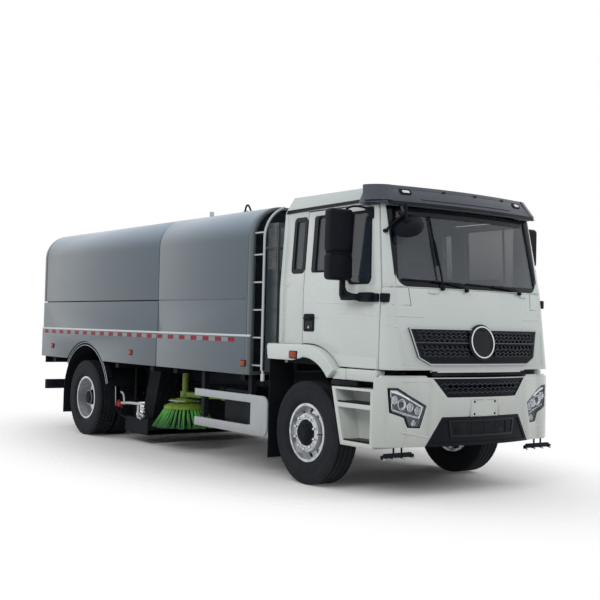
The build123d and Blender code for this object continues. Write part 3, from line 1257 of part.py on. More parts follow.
def make_brush():
    x, y = BRUSH_X, -BRUSH_Y
    pin = (ARM_PIVOT_X, -ARM_PIVOT_Y)
    arm = rod_z(x, y, MAST_R + ARM_SLEEVE, (ARM_LOW, ARM_TOP)) + rod_z(*pin, ARM_EYE_R, (ARM_LOW, ARM_TOP))
    run = (x - pin[0], y - pin[1])
    length = sqrt(run[0] ** 2 + run[1] ** 2)
    side = (-run[1] / length * ARM_WIDTH / 2, run[0] / length * ARM_WIDTH / 2)
    corners = [
        (pin[0] + side[0], pin[1] + side[1]), (x + side[0], y + side[1]),
        (x - side[0], y - side[1]), (pin[0] - side[0], pin[1] - side[1]),
    ]
    arm += Pos(0, 0, ARM_LOW + ARM_BEVEL) * extrude(outline(corners), amount=ARM_DEPTH - 2 * ARM_BEVEL)
    arm_cut = (ARM_LOW - OVERCUT, ARM_TOP + OVERCUT)
    arm -= rod_z(x, y, MAST_R + RUN_GAP, arm_cut)
    arm -= rod_z(*pin, ARM_PIN_R + RUN_GAP, arm_cut)
    motor_top = ARM_LOW - SWING_GAP
    motor_low = BRUSH_PLATE_TOP + BRUSH_MOTOR_GAP
    head = rod_z(x, y, MAST_R, (motor_low, MAST_TOP)) + rod_z(x, y, BRUSH_MOTOR_R, (motor_low, motor_top))
    head += rod_z(x, y, BRUSH_SHAFT_R, (BRUSH_PLATE_Z + SWING_GAP, motor_low))
    # Water spray ring on two spokes round the motor
    ring_z = motor_top - 2 * SPRAY_RING_WIRE_R
    head += Pos(x, y, ring_z) * Torus(SPRAY_RING_R, SPRAY_RING_WIRE_R)
    head += rod_y(x, ring_z, SPRAY_RING_WIRE_R, (y - SPRAY_RING_R, y + SPRAY_RING_R))
    brush = rod_z(x, y, BRUSH_PLATE_R, (BRUSH_PLATE_Z, BRUSH_PLATE_TOP))
    for index in range(BRUSH_TUFTS):
        brush += brush_tuft(x, y, 360 * index / BRUSH_TUFTS)
    brush -= rod_z(x, y, BRUSH_SHAFT_R + RUN_GAP, (BRUSH_PLATE_Z - OVERCUT, BRUSH_PLATE_TOP + OVERCUT))
    for name, shape in (("brush_arm", arm), ("brush_head", head), ("brush", brush)):
        nodes[name + "_right"] = shape
        nodes[name + "_left"] = other_side(shape)


def make_suction():
    rear, front = NOZZLE_X
    low, top = NOZZLE_Z
    wall = NOZZLE_WALL
    hood = box(NOZZLE_X, (-NOZZLE_HALF, NOZZLE_HALF), NOZZLE_Z)
    hood -= box((rear + wall, front - wall), (-NOZZLE_HALF + wall, NOZZLE_HALF - wall), (low - OVERCUT, top - wall))
    for y in (-NOZZLE_STRUT_Y, NOZZLE_STRUT_Y):
        hood += rod_z(NOZZLE_BEAM_X, y, NOZZLE_STRUT_R, (top - NOZZLE_SEAT, RAIL_TOP + BEAM_SEAT))
    nodes["suction_nozzle"] = hood
    duct_top = HOPPER_FLOOR - BODY_GAP
    foot = front - DUCT_BACK

    def side_view(inset):
        return [
            (foot + inset, top), (foot + DUCT_DEPTH - inset, top),
            (foot + DUCT_DEPTH + DUCT_LEAN - inset, duct_top), (foot + DUCT_LEAN + inset, duct_top),
        ]

    duct_in = DUCT_OUT - DUCT_WIDTH
    duct = prism_xz(side_view(0), (-DUCT_OUT, -duct_in))
    duct -= prism_xz(side_view(wall), (-DUCT_OUT + wall, -duct_in - wall))
    nodes["suction_ducts"] = pair(duct)


def make_ladder():
    y = -BODY_HALF + LADDER_IN
    bend_z = BODY_TOP - BODY_ROOF_R
    bend_r = BODY_ROOF_R - LADDER_IN
    ladder = rod_z(LADDER_X, y, LADDER_R, (LADDER_LOW, bend_z))
    bend_axis = Axis((LADDER_X, y + bend_r, bend_z), (1, 0, 0))
    ladder += revolve(Pos(LADDER_X, y, bend_z) * Circle(LADDER_R), axis=bend_axis, revolution_arc=-LADDER_BEND)
    rungs = [(RUNG_FIRST + RUNG_PITCH * index, 0) for index in range(RUNGS)]
    rungs.append((bend_z + TOP_RUNG_RISE, TOP_RUNG_IN))
    for z, inward in rungs:
        ladder += rod_x(y + inward, z, RUNG_R, (BODY_FRONT, LADDER_X))
    nodes["ladder"] = ladder
    tower = box(TOWER_X, TOWER_Y, (TOWER_LOW, TOWER_TOP))
    tower += box(TOWER_FOOT_X, (TOWER_Y[0] + TOWER_FOOT_OUT, -RAIL_IN), (RAIL_TOP, TOWER_LOW))
    nodes["air_intake_tower"] = tower


def make_rear_bar():
    bar = box(UNDERRUN_X, (-UNDERRUN_HALF, UNDERRUN_HALF), UNDERRUN_Z)
    for side in (-1, 1):
        arm_y = on_side(side, (RAIL_IN, RAIL_OUT))
        bar += box((RAIL_REAR - UNDERRUN_ARM, RAIL_REAR), arm_y, (UNDERRUN_Z[0], RAIL_TOP))
    nodes["rear_underrun_bar"] = bar


def make_all():
    make_chassis()
    make_front_axle()
    make_rear_axle()
    make_powertrain()
    make_front_wheels()
    make_rear_wheels()
    make_cab()
    make_cab_inside()
    make_mirrors()
    make_bumper()
    make_steps()
    make_mudguards()
    make_side_guards()
    make_body()
    make_hopper()
    make_brush()
    make_suction()
    make_ladder()
    make_rear_bar()


make_all()
os.makedirs("parts", exist_ok=True)
for name, shape in nodes.items():
    export_step(shape, f"parts/{name}.step")
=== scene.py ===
import bmesh
import bpy
from math import cos, pi, radians, sin, sqrt
from mathutils import Matrix, Vector
from random import Random


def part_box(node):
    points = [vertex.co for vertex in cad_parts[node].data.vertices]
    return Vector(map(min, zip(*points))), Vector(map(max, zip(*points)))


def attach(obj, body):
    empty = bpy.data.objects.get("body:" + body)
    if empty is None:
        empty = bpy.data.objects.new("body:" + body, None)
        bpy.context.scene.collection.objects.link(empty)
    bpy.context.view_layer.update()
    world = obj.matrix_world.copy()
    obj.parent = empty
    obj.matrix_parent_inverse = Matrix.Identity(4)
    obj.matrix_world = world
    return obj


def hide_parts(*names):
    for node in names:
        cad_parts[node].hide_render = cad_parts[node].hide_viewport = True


# Street sweeper truck, in metres: X forward, Y left, Z up from the ground
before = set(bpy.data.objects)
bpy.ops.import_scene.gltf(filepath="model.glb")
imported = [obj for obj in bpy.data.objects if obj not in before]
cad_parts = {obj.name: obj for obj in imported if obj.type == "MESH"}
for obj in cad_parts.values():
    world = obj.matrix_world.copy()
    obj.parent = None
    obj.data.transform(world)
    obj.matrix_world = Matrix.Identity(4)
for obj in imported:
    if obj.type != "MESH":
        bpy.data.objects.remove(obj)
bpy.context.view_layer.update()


def middle(node):
    low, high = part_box(node)
    return (low + high) / 2


def around(place, reach):
    """The (low, high) pair that reaches as far to both sides of a place."""
    return place - reach, place + reach


def span(place, first, second):
    """The pair at two offsets from a place."""
    return place + first, place + second


def placed(u, v, points):
    """Points of an outline that is given from an origin (u, v)."""
    return [(u + across, v + up) for across, up in points]


def sided(sign, first, second):
    """Two distances from the middle plane as a pair in Y, on the left (1) or right (-1)."""
    return sign * first, sign * second


def oblong(u, v):
    """Corners of a rectangle from two (low, high) pairs."""
    return [(u[0], v[0]), (u[1], v[0]), (u[1], v[1]), (u[0], v[1])]


def turned(x, y, radius, turn, z):
    """A place round an upright axis, turn in radians."""
    return Vector((x + radius * cos(turn), y + radius * sin(turn), z))


def flipped(sign, points):
    """(y, z) points of the left side, on the left (1) or right (-1)."""
    return [(sign * y, z) for y, z in points]


# Places read from the frame, and sizes as in the solids
FRONT_AXLE = middle("front_tyre_right").x
REAR_AXLE = middle("rear_tyres_right").x
AXLE_Z = middle("front_tyre_right").z
TYRE_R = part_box("front_tyre_right")[1].z - AXLE_Z
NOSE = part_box("front_bumper")[1].x
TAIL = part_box("tailgate")[0].x
CAB_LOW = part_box("cab_front_panel")[0].z
CAB_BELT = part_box("cab_front_panel")[1].z
CAB_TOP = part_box("cab_roof")[1].z
CAB_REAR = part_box("cab_rear_wall")[0].x
CAB_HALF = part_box("cab_rear_wall")[1].y
CAB_DRIP = CAB_TOP - 0.170
BUMPER_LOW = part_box("front_bumper")[0].z
BUMPER_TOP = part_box("front_bumper")[1].z
BUMPER_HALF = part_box("front_bumper")[1].y
BODY_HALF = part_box("hopper_box")[1].y
BODY_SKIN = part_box("side_skirts")[1].y
BODY_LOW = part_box("side_skirts")[0].z
BODY_LEDGE = BODY_LOW + 0.429
BODY_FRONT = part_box("body_front_frame")[1].x
BODY_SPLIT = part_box("body_front_shell")[0].x
BODY_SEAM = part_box("side_skirts")[1].z + 0.007
BODY_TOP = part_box("body_front_frame")[1].z
DOOR_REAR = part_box("door_right")[0].x
DOOR_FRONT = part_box("door_right")[1].x
RAIL_OUT = 0.425
CAB_CORNER_R = 0.150
CAB_BOW = 0.080
BUMPER_CORNER_R = 0.385
BUMPER_BOW = 0.140
BUMPER_SWEEP = 0.085
CAB_FORM = [
    # height, half width, front at the middle
    (CAB_LOW, CAB_HALF, NOSE - 0.040),
    (CAB_BELT, CAB_HALF, NOSE - 0.140),
    (CAB_DRIP, CAB_HALF - 0.055, NOSE - 0.290),
    (CAB_TOP, CAB_HALF - 0.165, NOSE - 0.440),
]
SIDES = (("right", -1), ("left", 1))


def bowed_x(y, half, front, radius, bow):
    """How far forward a bowed front with round corners reaches at one y."""
    flat = half - radius
    reach = abs(y)
    if reach <= flat:
        curve = (flat ** 2 + bow ** 2) / (2 * bow)
        return front - curve + sqrt(curve ** 2 - y ** 2)
    return front - bow - radius + sqrt(max(radius ** 2 - (reach - flat) ** 2, 0.0))


def cab_section(z):
    """(half width, front) of the cab's skin at one height."""
    for (z_a, half_a, front_a), (z_b, half_b, front_b) in zip(CAB_FORM, CAB_FORM[1:]):
        if z <= z_b:
            break
    share = max(0.0, min(1.0, (z - z_a) / (z_b - z_a)))
    return half_a + (half_b - half_a) * share, front_a + (front_b - front_a) * share


def on_cab_front(y, z, proud=0.0):
    half, front = cab_section(z)
    return Vector((bowed_x(y, half, front, CAB_CORNER_R, CAB_BOW) + proud, y, z))


def on_bumper(y, z, proud=0.0):
    return Vector((bowed_x(y, BUMPER_HALF + BUMPER_SWEEP, NOSE, BUMPER_CORNER_R, BUMPER_BOW) + proud, y, z))


def mirrored(points):
    """A half outline on the +Y side, closed over the middle line."""
    return points + [(-y, z) for y, z in reversed(points)]


# Materials


def tone(red, green, blue):
    """A colour given in screen values, 0 to 255, as linear light."""
    def linear(value):
        share = value / 255
        return share / 12.92 if share <= 0.04045 else ((share + 0.055) / 1.055) ** 2.4
    return (linear(red), linear(green), linear(blue), 1.0)


class Wire:
    """A shader value: operators add Math nodes, and node() adds any other node."""

    def __init__(self, tree, socket=None):
        self.tree = tree
        self.socket = socket

    def node(self, kind, settings, sockets, out=0):
        made = self.tree.nodes.new("ShaderNode" + kind)
        for name, value in settings.items():
            if name == "stops":
                ramp = made.color_ramp
                while len(ramp.elements) < len(value):
                    ramp.elements.new(1.0)
                for element, (place, colour) in zip(ramp.elements, value):
                    element.position = place
                    element.color = colour
            else:
                setattr(made, name, value)
        for name, value in sockets.items():
            if isinstance(value, Wire):
                self.tree.links.new(value.socket, made.inputs[name])
            else:
                made.inputs[name].default_value = value
        return Wire(self.tree, made.outputs[out])

    def math(self, operation, *values):
        return self.node("Math", {"operation": operation}, dict(enumerate(values)))

    def __add__(self, other):
        return self.math("ADD", self, other)

    __radd__ = __add__

    def __mul__(self, other):
        return self.math("MULTIPLY", self, other)

    __rmul__ = __mul__

    def __sub__(self, other):
        return self.math("SUBTRACT", self, other)

    def __rsub__(self, other):
        return self.math("SUBTRACT", other, self)

    def above(self, level, soft):
        """0 below the level, 1 above it, over a soft edge."""
        return self.node("MapRange", {"interpolation_type": "SMOOTHSTEP"}, {
            "Value": self, "From Min": level - soft, "From Max": level + soft})

    def paint(self, low, high):
        """The colour between low and high that this value stands for."""
        return self.node("Mix", {"data_type": "RGBA"}, {0: self, 6: low, 7: high}, 2)

    def noise(self, scale, detail=3.0, rough=0.55):
        return self.node("TexNoise", {}, {
            "Vector": self, "Scale": scale, "Detail": detail, "Roughness": rough})

    def stretched(self, x, y, z):
        return self.node("Mapping", {}, {"Vector": self, "Scale": (x, y, z)})

    def axis(self, name):
        return self.node("SeparateXYZ", {}, {"Vector": self}, name)

    def bump(self, strength, distance):
        return self.node("Bump", {}, {"Height": self, "Strength": strength, "Distance": distance})


FINISHES = {}


def finish(name, recipe, **constants):
    """Adds a material whose recipe says, from Object coordinates, what varies over the surface."""
    material = bpy.data.materials.new(name)
    material.use_nodes = True
    tree = material.node_tree
    tree.nodes.clear()
    output = tree.nodes.new("ShaderNodeOutputMaterial")
    shader = tree.nodes.new("ShaderNodeBsdfPrincipled")
    tree.links.new(shader.outputs[0], output.inputs["Surface"])
    for socket, value in constants.items():
        shader.inputs[socket.replace("_", " ")].default_value = value
    place = Wire(tree).node("TexCoord", {}, {}, "Object")
    for socket, value in recipe(place).items():
        tree.links.new(value.socket, shader.inputs[socket])
    FINISHES[name] = material


def dimmed(colour, share):
    """A share of a colour's light."""
    return tuple(share * part for part in colour[:3]) + (1,)


ROOF_LIGHT_Z = 2.74       # about here a roof turns to its painted light colour
ROOF_LIGHT_SOFT = 0.20


def painted(colour, dusty, dust_top, shine, roof_light=None, grain=0.00012):
    """Vehicle paint: orange peel, mottling, road dust that fades upwards and, where a roof colour is given,
    painted light on the roof: that colour above a height.
    """
    def recipe(at):
        mottle = at.noise(2.2, 4.0)
        streak = at.stretched(9.0, 9.0, 0.7).noise(1.6, 4.0)
        height = at.axis("Z")
        dust = (1 - height.above(dust_top, dust_top * 0.75)) * streak * 0.75
        base = mottle.paint(dimmed(colour, 0.93), colour)
        if roof_light:
            # Painted light: above the height the roof turns to the given colour.
            base = height.above(ROOF_LIGHT_Z, ROOF_LIGHT_SOFT).paint(base, roof_light)
        peel = at.noise(420.0, 2.0)
        return {
            "Base Color": dust.paint(base, dusty),
            "Roughness": shine + 0.10 * mottle + 0.35 * dust,
            "Normal": peel.bump(0.25, grain),
        }
    return recipe


def worn_metal(colour, worn, rough, scale=14.0):
    """Painted or cast metal with patchy wear and grime."""
    def recipe(at):
        patch = at.noise(scale, 6.0, 0.65)
        wear = patch.above(0.60, 0.10)
        grain = at.noise(scale * 22, 3.0)
        return {
            "Base Color": wear.paint(colour, worn),
            "Roughness": rough + 0.22 * patch,
            "Normal": (grain + 2.0 * patch).bump(0.30, 0.0006),
        }
    return recipe


def grained(colour, dusty, rough, grain):
    """Moulded plastic or rubber with a leather-like grain and a breath of dust."""
    def recipe(at):
        cells = at.node("TexVoronoi", {"feature": "SMOOTH_F1"}, {"Vector": at, "Scale": grain})
        dust = at.noise(3.5, 5.0).above(0.58, 0.16)
        return {
            "Base Color": (dust * 0.5).paint(colour, dusty),
            "Roughness": rough + 0.18 * dust,
            "Normal": cells.bump(0.35, 0.0005),
        }
    return recipe


def tyre_rubber(at):
    dust = at.noise(7.0, 5.0).above(0.50, 0.2)
    fine = at.noise(160.0, 3.0)
    return {
        "Base Color": (dust * 0.4).paint(tone(22, 25, 31), tone(56, 57, 60)),
        "Roughness": 0.72 + 0.16 * dust,
        "Normal": fine.bump(0.35, 0.0008),
    }


def brushed(colour, rough):
    """Bright metal with fine scratches."""
    def recipe(at):
        lines = at.stretched(60.0, 60.0, 6.0).noise(9.0, 3.0)
        haze = at.noise(5.0, 4.0)
        return {
            "Base Color": (haze * 0.5).paint(colour, dimmed(colour, 0.72)),
            "Roughness": rough + 0.14 * haze + 0.08 * lines,
            "Normal": lines.bump(0.08, 0.0003),
        }
    return recipe


def wheel_silver(at):
    dirt = at.noise(9.0, 5.0).above(0.56, 0.14)
    fine = at.noise(240.0, 2.0)
    return {
        "Base Color": (dirt * 0.40).paint(tone(206, 210, 214), tone(122, 118, 112)),
        "Roughness": 0.30 + 0.30 * dirt,
        "Normal": fine.bump(0.15, 0.0004),
    }


def tinted_glass(at):
    film = at.noise(1.8, 4.0)
    wiped = at.axis("Z").above(CAB_BELT + 0.25, 0.3)
    return {
        "Base Color": film.paint(tone(34, 45, 56), tone(50, 64, 76)),
        "Roughness": 0.03 + 0.05 * film,
        "Alpha": 0.62 - 0.16 * wiped + 0.06 * film,
    }


def clear_lens(colour):
    def recipe(at):
        flutes = at.node("TexVoronoi", {}, {"Vector": at.stretched(1.0, 2.0, 2.0), "Scale": 38.0})
        haze = at.noise(11.0, 3.0)
        return {
            "Base Color": haze.paint(colour, dimmed(colour, 0.8)),
            "Roughness": 0.05 + 0.08 * haze,
            "Normal": flutes.bump(0.12, 0.0005),
        }
    return recipe


def headlamp_cover(at):
    haze = at.noise(6.0, 3.0)
    return {
        "Base Color": haze.paint(tone(150, 162, 172), tone(126, 138, 148)),
        "Roughness": 0.02 + 0.05 * haze,
        "Alpha": 0.10 + 0.06 * haze,
    }


def woven(colour, thread):
    """Seat cloth: two crossing rows of threads."""
    def recipe(at):
        wave = {"wave_type": "BANDS", "bands_direction": "X"}
        warp = at.node("TexWave", wave, {"Vector": at, "Scale": thread})
        weft = at.node("TexWave", {**wave, "bands_direction": "Z"}, {"Vector": at, "Scale": thread})
        cross = at.node("TexWave", {**wave, "bands_direction": "Y"}, {"Vector": at, "Scale": thread})
        weave = warp * weft + 0.6 * cross
        shade = at.noise(6.0, 4.0)
        return {
            "Base Color": shade.paint(colour, dimmed(colour, 0.6)),
            "Roughness": 0.85 + 0.1 * weave,
            "Normal": weave.bump(0.4, 0.0012),
        }
    return recipe


def bristles(at):
    strand = at.stretched(70.0, 70.0, 5.0).noise(4.0, 3.0)
    # Painted shade: below about 0.36 m the bristles turn dark green.
    depth = at.axis("Z").above(0.36, 0.14)
    strand_green = strand.paint(tone(44, 122, 44), tone(108, 192, 88))
    return {
        "Base Color": depth.paint(tone(24, 70, 38), strand_green),
        "Roughness": 0.42 + 0.25 * strand,
        "Normal": strand.bump(0.5, 0.0015),
    }


TAPE_PERIOD = 0.278      # one red and one pale block
TAPE_START = 1.3185


def reflective_tape(at):
    """Red and pale blocks along the truck, with the fine cells of reflective sheeting."""
    along = (at.axis("X") - TAPE_START) * (1 / TAPE_PERIOD)
    second_half = at.math("FRACT", along).above(0.5, 0.004)
    cells = at.node("TexVoronoi", {}, {"Vector": at, "Scale": 260.0})
    fade = at.noise(4.0, 4.0)
    red = fade.paint(tone(142, 14, 30), tone(120, 20, 36))
    pale = fade.paint(tone(142, 150, 154), tone(128, 137, 142))
    return {
        "Base Color": second_half.paint(red, pale),
        "Roughness": 0.28 + 0.2 * fade,
        "Normal": cells.bump(0.15, 0.0004),
    }


def perforated(at):
    """Steel sheet with staggered round holes, painted near black as painted shade behind them."""
    pattern = at.node("TexVoronoi", {"feature": "F1"}, {"Vector": at, "Scale": 46.0, "Randomness": 0.12})
    # Painted shade: the holes are near black, for the dark inside seen through them.
    hole = 1 - pattern.above(0.34, 0.05)
    grime = at.noise(7.0, 4.0)
    steel = grime.paint(tone(150, 152, 156), tone(92, 94, 98))
    return {
        "Base Color": hole.paint(steel, tone(14, 15, 18)),
        "Roughness": 0.40 + 0.3 * grime,
        "Normal": (1 - hole).bump(0.6, 0.002),
    }


def tread_plate(at):
    """Anti-slip plate with raised diagonal bars."""
    wave = {"wave_type": "BANDS", "bands_direction": "DIAGONAL"}
    bars = at.node("TexWave", wave, {"Vector": at, "Scale": 26.0}).above(0.62, 0.2)
    dust = at.noise(12.0, 4.0)
    return {
        "Base Color": dust.paint(tone(40, 42, 45), tone(84, 82, 78)),
        "Roughness": 0.5 + 0.25 * dust,
        "Normal": bars.bump(0.7, 0.003),
    }


DUST = tone(150, 143, 132)
WHITE = tone(204, 212, 210)
# The last colour of the paint is painted shade: the cab's roof drawn darker.
finish(
    "cab_white", painted(WHITE, tone(176, 172, 162), 0.95, 0.22, tone(166, 176, 176)), Coat_Weight=0.6,
    Coat_Roughness=0.06)
# The last colour of the paint is painted sky reflection: the body's roof drawn paler and bluer.
finish(
    "body_grey", painted(tone(78, 92, 102), tone(98, 102, 102), 0.95, 0.30, tone(138, 156, 174)),
    Metallic=0.12, Coat_Weight=0.35, Coat_Roughness=0.10)
finish(
    "band_grey", painted(tone(62, 72, 76), tone(96, 94, 88), 0.9, 0.34), Coat_Weight=0.3,
    Coat_Roughness=0.12)
finish("chassis_black", worn_metal(tone(17, 20, 26), tone(40, 41, 44), 0.55), Specular_IOR_Level=0.15)
finish("axle_iron", worn_metal(tone(30, 30, 32), tone(66, 60, 54), 0.58), Specular_IOR_Level=0.25)
finish(
    "guard_grey", painted(tone(170, 177, 182), tone(132, 128, 120), 0.62, 0.34), Coat_Weight=0.2,
    Coat_Roughness=0.15)
finish("green_paint", worn_metal(tone(112, 140, 46), tone(72, 84, 44), 0.38))
finish("bristle_green", bristles, Sheen_Weight=0.15)
finish("tyre_rubber", tyre_rubber, Specular_IOR_Level=0.2)
finish("wheel_silver", wheel_silver, Metallic=0.75)
finish("chrome", brushed(tone(226, 230, 234), 0.08), Metallic=1.0)
finish("steel", brushed(tone(176, 182, 186), 0.26), Metallic=0.85)
finish("window_glass", tinted_glass, Coat_Weight=1.0, Coat_Roughness=0.02, IOR=1.5)
finish("mirror_glass", brushed(tone(206, 214, 220), 0.02), Metallic=1.0)
finish("black_plastic", grained(tone(10, 14, 22), tone(26, 30, 38), 0.46, 520.0), Specular_IOR_Level=0.12)
finish(
    "visor_plastic", grained(tone(40, 47, 60), tone(58, 66, 78), 0.34, 700.0), Coat_Weight=0.25,
    Coat_Roughness=0.12)
finish(
    "gloss_black", painted(tone(9, 13, 21), tone(30, 32, 36), 0.4, 0.14), Coat_Weight=0.15,
    Coat_Roughness=0.05, Specular_IOR_Level=0.15)
finish("black_rubber", grained(tone(13, 16, 22), tone(34, 35, 38), 0.66, 260.0), Specular_IOR_Level=0.15)
finish("headlamp_cover", headlamp_cover, Coat_Weight=1.0, Coat_Roughness=0.02)
finish("clear_lens", clear_lens(tone(220, 226, 230)), Coat_Weight=0.8, Coat_Roughness=0.03)
finish(
    "amber_lens", clear_lens(tone(160, 58, 12)), Coat_Weight=0.15, Coat_Roughness=0.04,
    Specular_IOR_Level=0.2)
finish("red_lens", clear_lens(tone(164, 22, 26)), Coat_Weight=0.7, Coat_Roughness=0.04)
finish("lit_strip", clear_lens(tone(240, 244, 248)), Emission_Color=(1, 1, 1, 1), Emission_Strength=0.35)
finish("seat_cloth", woven(tone(58, 60, 66), 90.0))
finish("cabin_trim", grained(tone(70, 72, 74), tone(96, 96, 94), 0.6, 420.0))
finish("reflective_tape", reflective_tape, Coat_Weight=0.08, Coat_Roughness=0.1, Specular_IOR_Level=0.15)
finish("bright_edge", painted(tone(206, 210, 212), DUST, 0.5, 0.24), Coat_Weight=0.4, Coat_Roughness=0.1)
finish("perforated", perforated, Metallic=0.5)
finish("tread_plate", tread_plate, Metallic=0.25)
finish("valve_red", worn_metal(tone(140, 30, 34), tone(86, 44, 42), 0.36))


# Modelling helpers: parts for a Shape to take in, and the surfaces they lie on

TURN = {
    "X": Matrix(((0, 0, 1, 0), (1, 0, 0, 0), (0, 1, 0, 0), (0, 0, 0, 1))),
    "Y": Matrix(((1, 0, 0, 0), (0, 0, 1, 0), (0, 1, 0, 0), (0, 0, 0, 1))),
    "Z": Matrix.Identity(4),
}


class Shape:
    """A piece in the making: solids gathered into one mesh, each with its own finish."""

    def __init__(self):
        self.mesh = bmesh.new()
        self.finishes = []

    def add(self, paint, *parts):
        if paint not in self.finishes:
            self.finishes.append(paint)
        for part in parts:
            bmesh.ops.recalc_face_normals(part, faces=part.faces)
            for face in part.faces:
                face.material_index = self.finishes.index(paint)
            scratch = bpy.data.meshes.new("scratch")
            part.to_mesh(scratch)
            part.free()
            self.mesh.from_mesh(scratch)
            bpy.data.meshes.remove(scratch)

    def place(self, name, body, slot, *replaced, smooth=35):
        mesh = bpy.data.meshes.new(name)
        self.mesh.to_mesh(mesh)
        self.mesh.free()
        for paint in self.finishes:
            mesh.materials.append(FINISHES[paint])
        mesh.shade_smooth()
        mesh.set_sharp_from_angle(angle=radians(smooth))
        made = bpy.data.objects.new(name, mesh)
        bpy.context.scene.collection.objects.link(made)
        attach(made, body)
        if replaced:
            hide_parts(*replaced)
        return made


def rounded(part, width, segments=2, angle=30):
    """Bevels the edges sharper than an angle."""
    if width:
        sharp = [
            edge for edge in part.edges if edge.is_manifold and edge.calc_face_angle() > radians(angle)]
        bmesh.ops.bevel(
            part, geom=sharp, affect="EDGES", offset=width, segments=segments, profile=0.5, material=-1)
    return part


def block(x, y, z, soft=0.0, segments=2):
    """Box from (low, high) pairs, in either order, with soft edges."""
    part = bmesh.new()
    size = [abs(pair[1] - pair[0]) for pair in (x, y, z)]
    centre = [(pair[0] + pair[1]) / 2 for pair in (x, y, z)]
    bmesh.ops.create_cube(part, size=1.0, matrix=Matrix.Translation(centre) @ Matrix.Diagonal((*size, 1)))
    return rounded(part, soft, segments)


def rod(start, end, radius, sides=14, tip=None, soft=0.0):
    """Round bar or cone between two points."""
    part = bmesh.new()
    start, end = Vector(start), Vector(end)
    turn = (end - start).to_track_quat("Z", "Y").to_matrix().to_4x4()
    bmesh.ops.create_cone(
        part, cap_ends=True, segments=sides, radius1=radius, radius2=radius if tip is None else tip,
        depth=(end - start).length, matrix=Matrix.Translation((start + end) / 2) @ turn)
    return rounded(part, soft, angle=50)


def lathe(profile, centre, axis, steps=48, closed=False, tilt=0.0, yaw=0.0):
    """Turned solid from (along, radius) points about an axis, then turned by tilt about Y and yaw about Z."""
    part = bmesh.new()
    verts = [part.verts.new((radius, 0, along)) for along, radius in profile]
    pairs = list(zip(verts, verts[1:]))
    if closed:
        pairs.append((verts[-1], verts[0]))
    edges = [part.edges.new(pair) for pair in pairs]
    bmesh.ops.spin(
        part, geom=verts + edges, cent=(0, 0, 0), axis=(0, 0, 1), angle=2 * pi, steps=steps, use_merge=True,
        use_duplicate=False)
    bmesh.ops.remove_doubles(part, verts=part.verts, dist=0.00002)
    lean = Matrix.Rotation(radians(yaw), 4, "Z") @ Matrix.Rotation(radians(tilt), 4, "Y")
    bmesh.ops.transform(part, matrix=Matrix.Translation(centre) @ lean @ TURN[axis], verts=part.verts)
    return part


def prism(points, axis, ends, soft=0.0):
    """Outline carried along an axis: points are (y, z) along X, (x, z) along Y, (x, y) along Z."""
    part = bmesh.new()
    face = part.faces.new([part.verts.new((*point, ends[0])) for point in points])
    grown = bmesh.ops.extrude_face_region(part, geom=[face])["geom"]
    bmesh.ops.translate(part, vec=(0, 0, ends[1] - ends[0]), verts=[
        item for item in grown if isinstance(item, bmesh.types.BMVert)])
    bmesh.ops.transform(part, matrix=TURN[axis], verts=part.verts)
    bmesh.ops.recalc_face_normals(part, faces=part.faces)
    return rounded(part, soft)


def pipe(points, radius, smooth=True):
    """Round tube along points: bent smoothly, or in straight runs."""
    line = bpy.data.curves.new("pipe", "CURVE")
    line.dimensions = "3D"
    line.bevel_depth = radius
    line.bevel_resolution = 2
    line.resolution_u = 6
    line.use_fill_caps = True
    spline = line.splines.new("NURBS" if smooth else "POLY")
    spline.points.add(len(points) - 1)
    for knot, place in zip(spline.points, points):
        knot.co = (*place, 1)
    if smooth:
        spline.order_u = 3
        spline.use_endpoint_u = True
    holder = bpy.data.objects.new("pipe", line)
    tube = bpy.data.meshes.new_from_object(holder)
    part = bmesh.new()
    part.from_mesh(tube)
    bmesh.ops.remove_doubles(part, verts=part.verts, dist=0.00002)
    bpy.data.objects.remove(holder)
    bpy.data.curves.remove(line)
    bpy.data.meshes.remove(tube)
    return part


def sheet_on(surface, outline, proud, thick, corner=0.0, hole=0.0, pitch=0.05):
    """A sheet on a curved surface: outside at proud, thick inwards, only a hole-wide rim if hole is set."""
    part = bmesh.new()
    face = part.faces.new([part.verts.new((u, v, 0)) for u, v in outline])
    if corner:
        bmesh.ops.bevel(
            part, geom=part.verts[:], affect="VERTICES", offset=corner, segments=4, profile=0.5,
            material=-1)
        face = part.faces[:][0]
    if hole:
        part.normal_update()
        bmesh.ops.inset_region(part, faces=[face], thickness=hole, use_even_offset=True, use_boundary=True)
        bmesh.ops.delete(part, geom=[face], context="FACES")
    for axis in (0, 1):
        low = min(vert.co[axis] for vert in part.verts)
        high = max(vert.co[axis] for vert in part.verts)
        normal = Vector((1, 0, 0)) if axis == 0 else Vector((0, 1, 0))
        for step in range(1, int((high - low) / pitch) + 1):
            geom = part.verts[:] + part.edges[:] + part.faces[:]
            bmesh.ops.bisect_plane(part, geom=geom, plane_co=normal * (low + step * pitch), plane_no=normal)
    back = bmesh.ops.extrude_face_region(part, geom=part.faces[:])["geom"]
    sunk = set(item for item in back if isinstance(item, bmesh.types.BMVert))
    for vert in part.verts:
        vert.co = surface(vert.co.x, vert.co.y, proud - thick if vert in sunk else proud)
    return part


def corner_fill(surface, corner, along_a, along_b, radius, proud, thick):
    """The small three-sided sheet that makes a sharp window corner a round one."""
    corner = Vector(corner)
    to_a = (Vector(along_a) - corner).normalized()
    to_b = (Vector(along_b) - corner).normalized()
    half_angle = to_a.angle(to_b) / 2
    reach = radius / sin(half_angle)
    centre = corner + (to_a + to_b).normalized() * reach
    tangent = radius * cos(half_angle) / sin(half_angle)
    start = corner + to_a * tangent - centre
    sweep = pi - 2 * half_angle
    side = 1 if to_a.cross(to_b) > 0 else -1
    points = [corner]
    for step in range(9):
        turn = Matrix.Rotation(-side * sweep * step / 8, 2)
        points.append(centre + turn @ start)
    return sheet_on(surface, points, proud, thick, pitch=0.04)


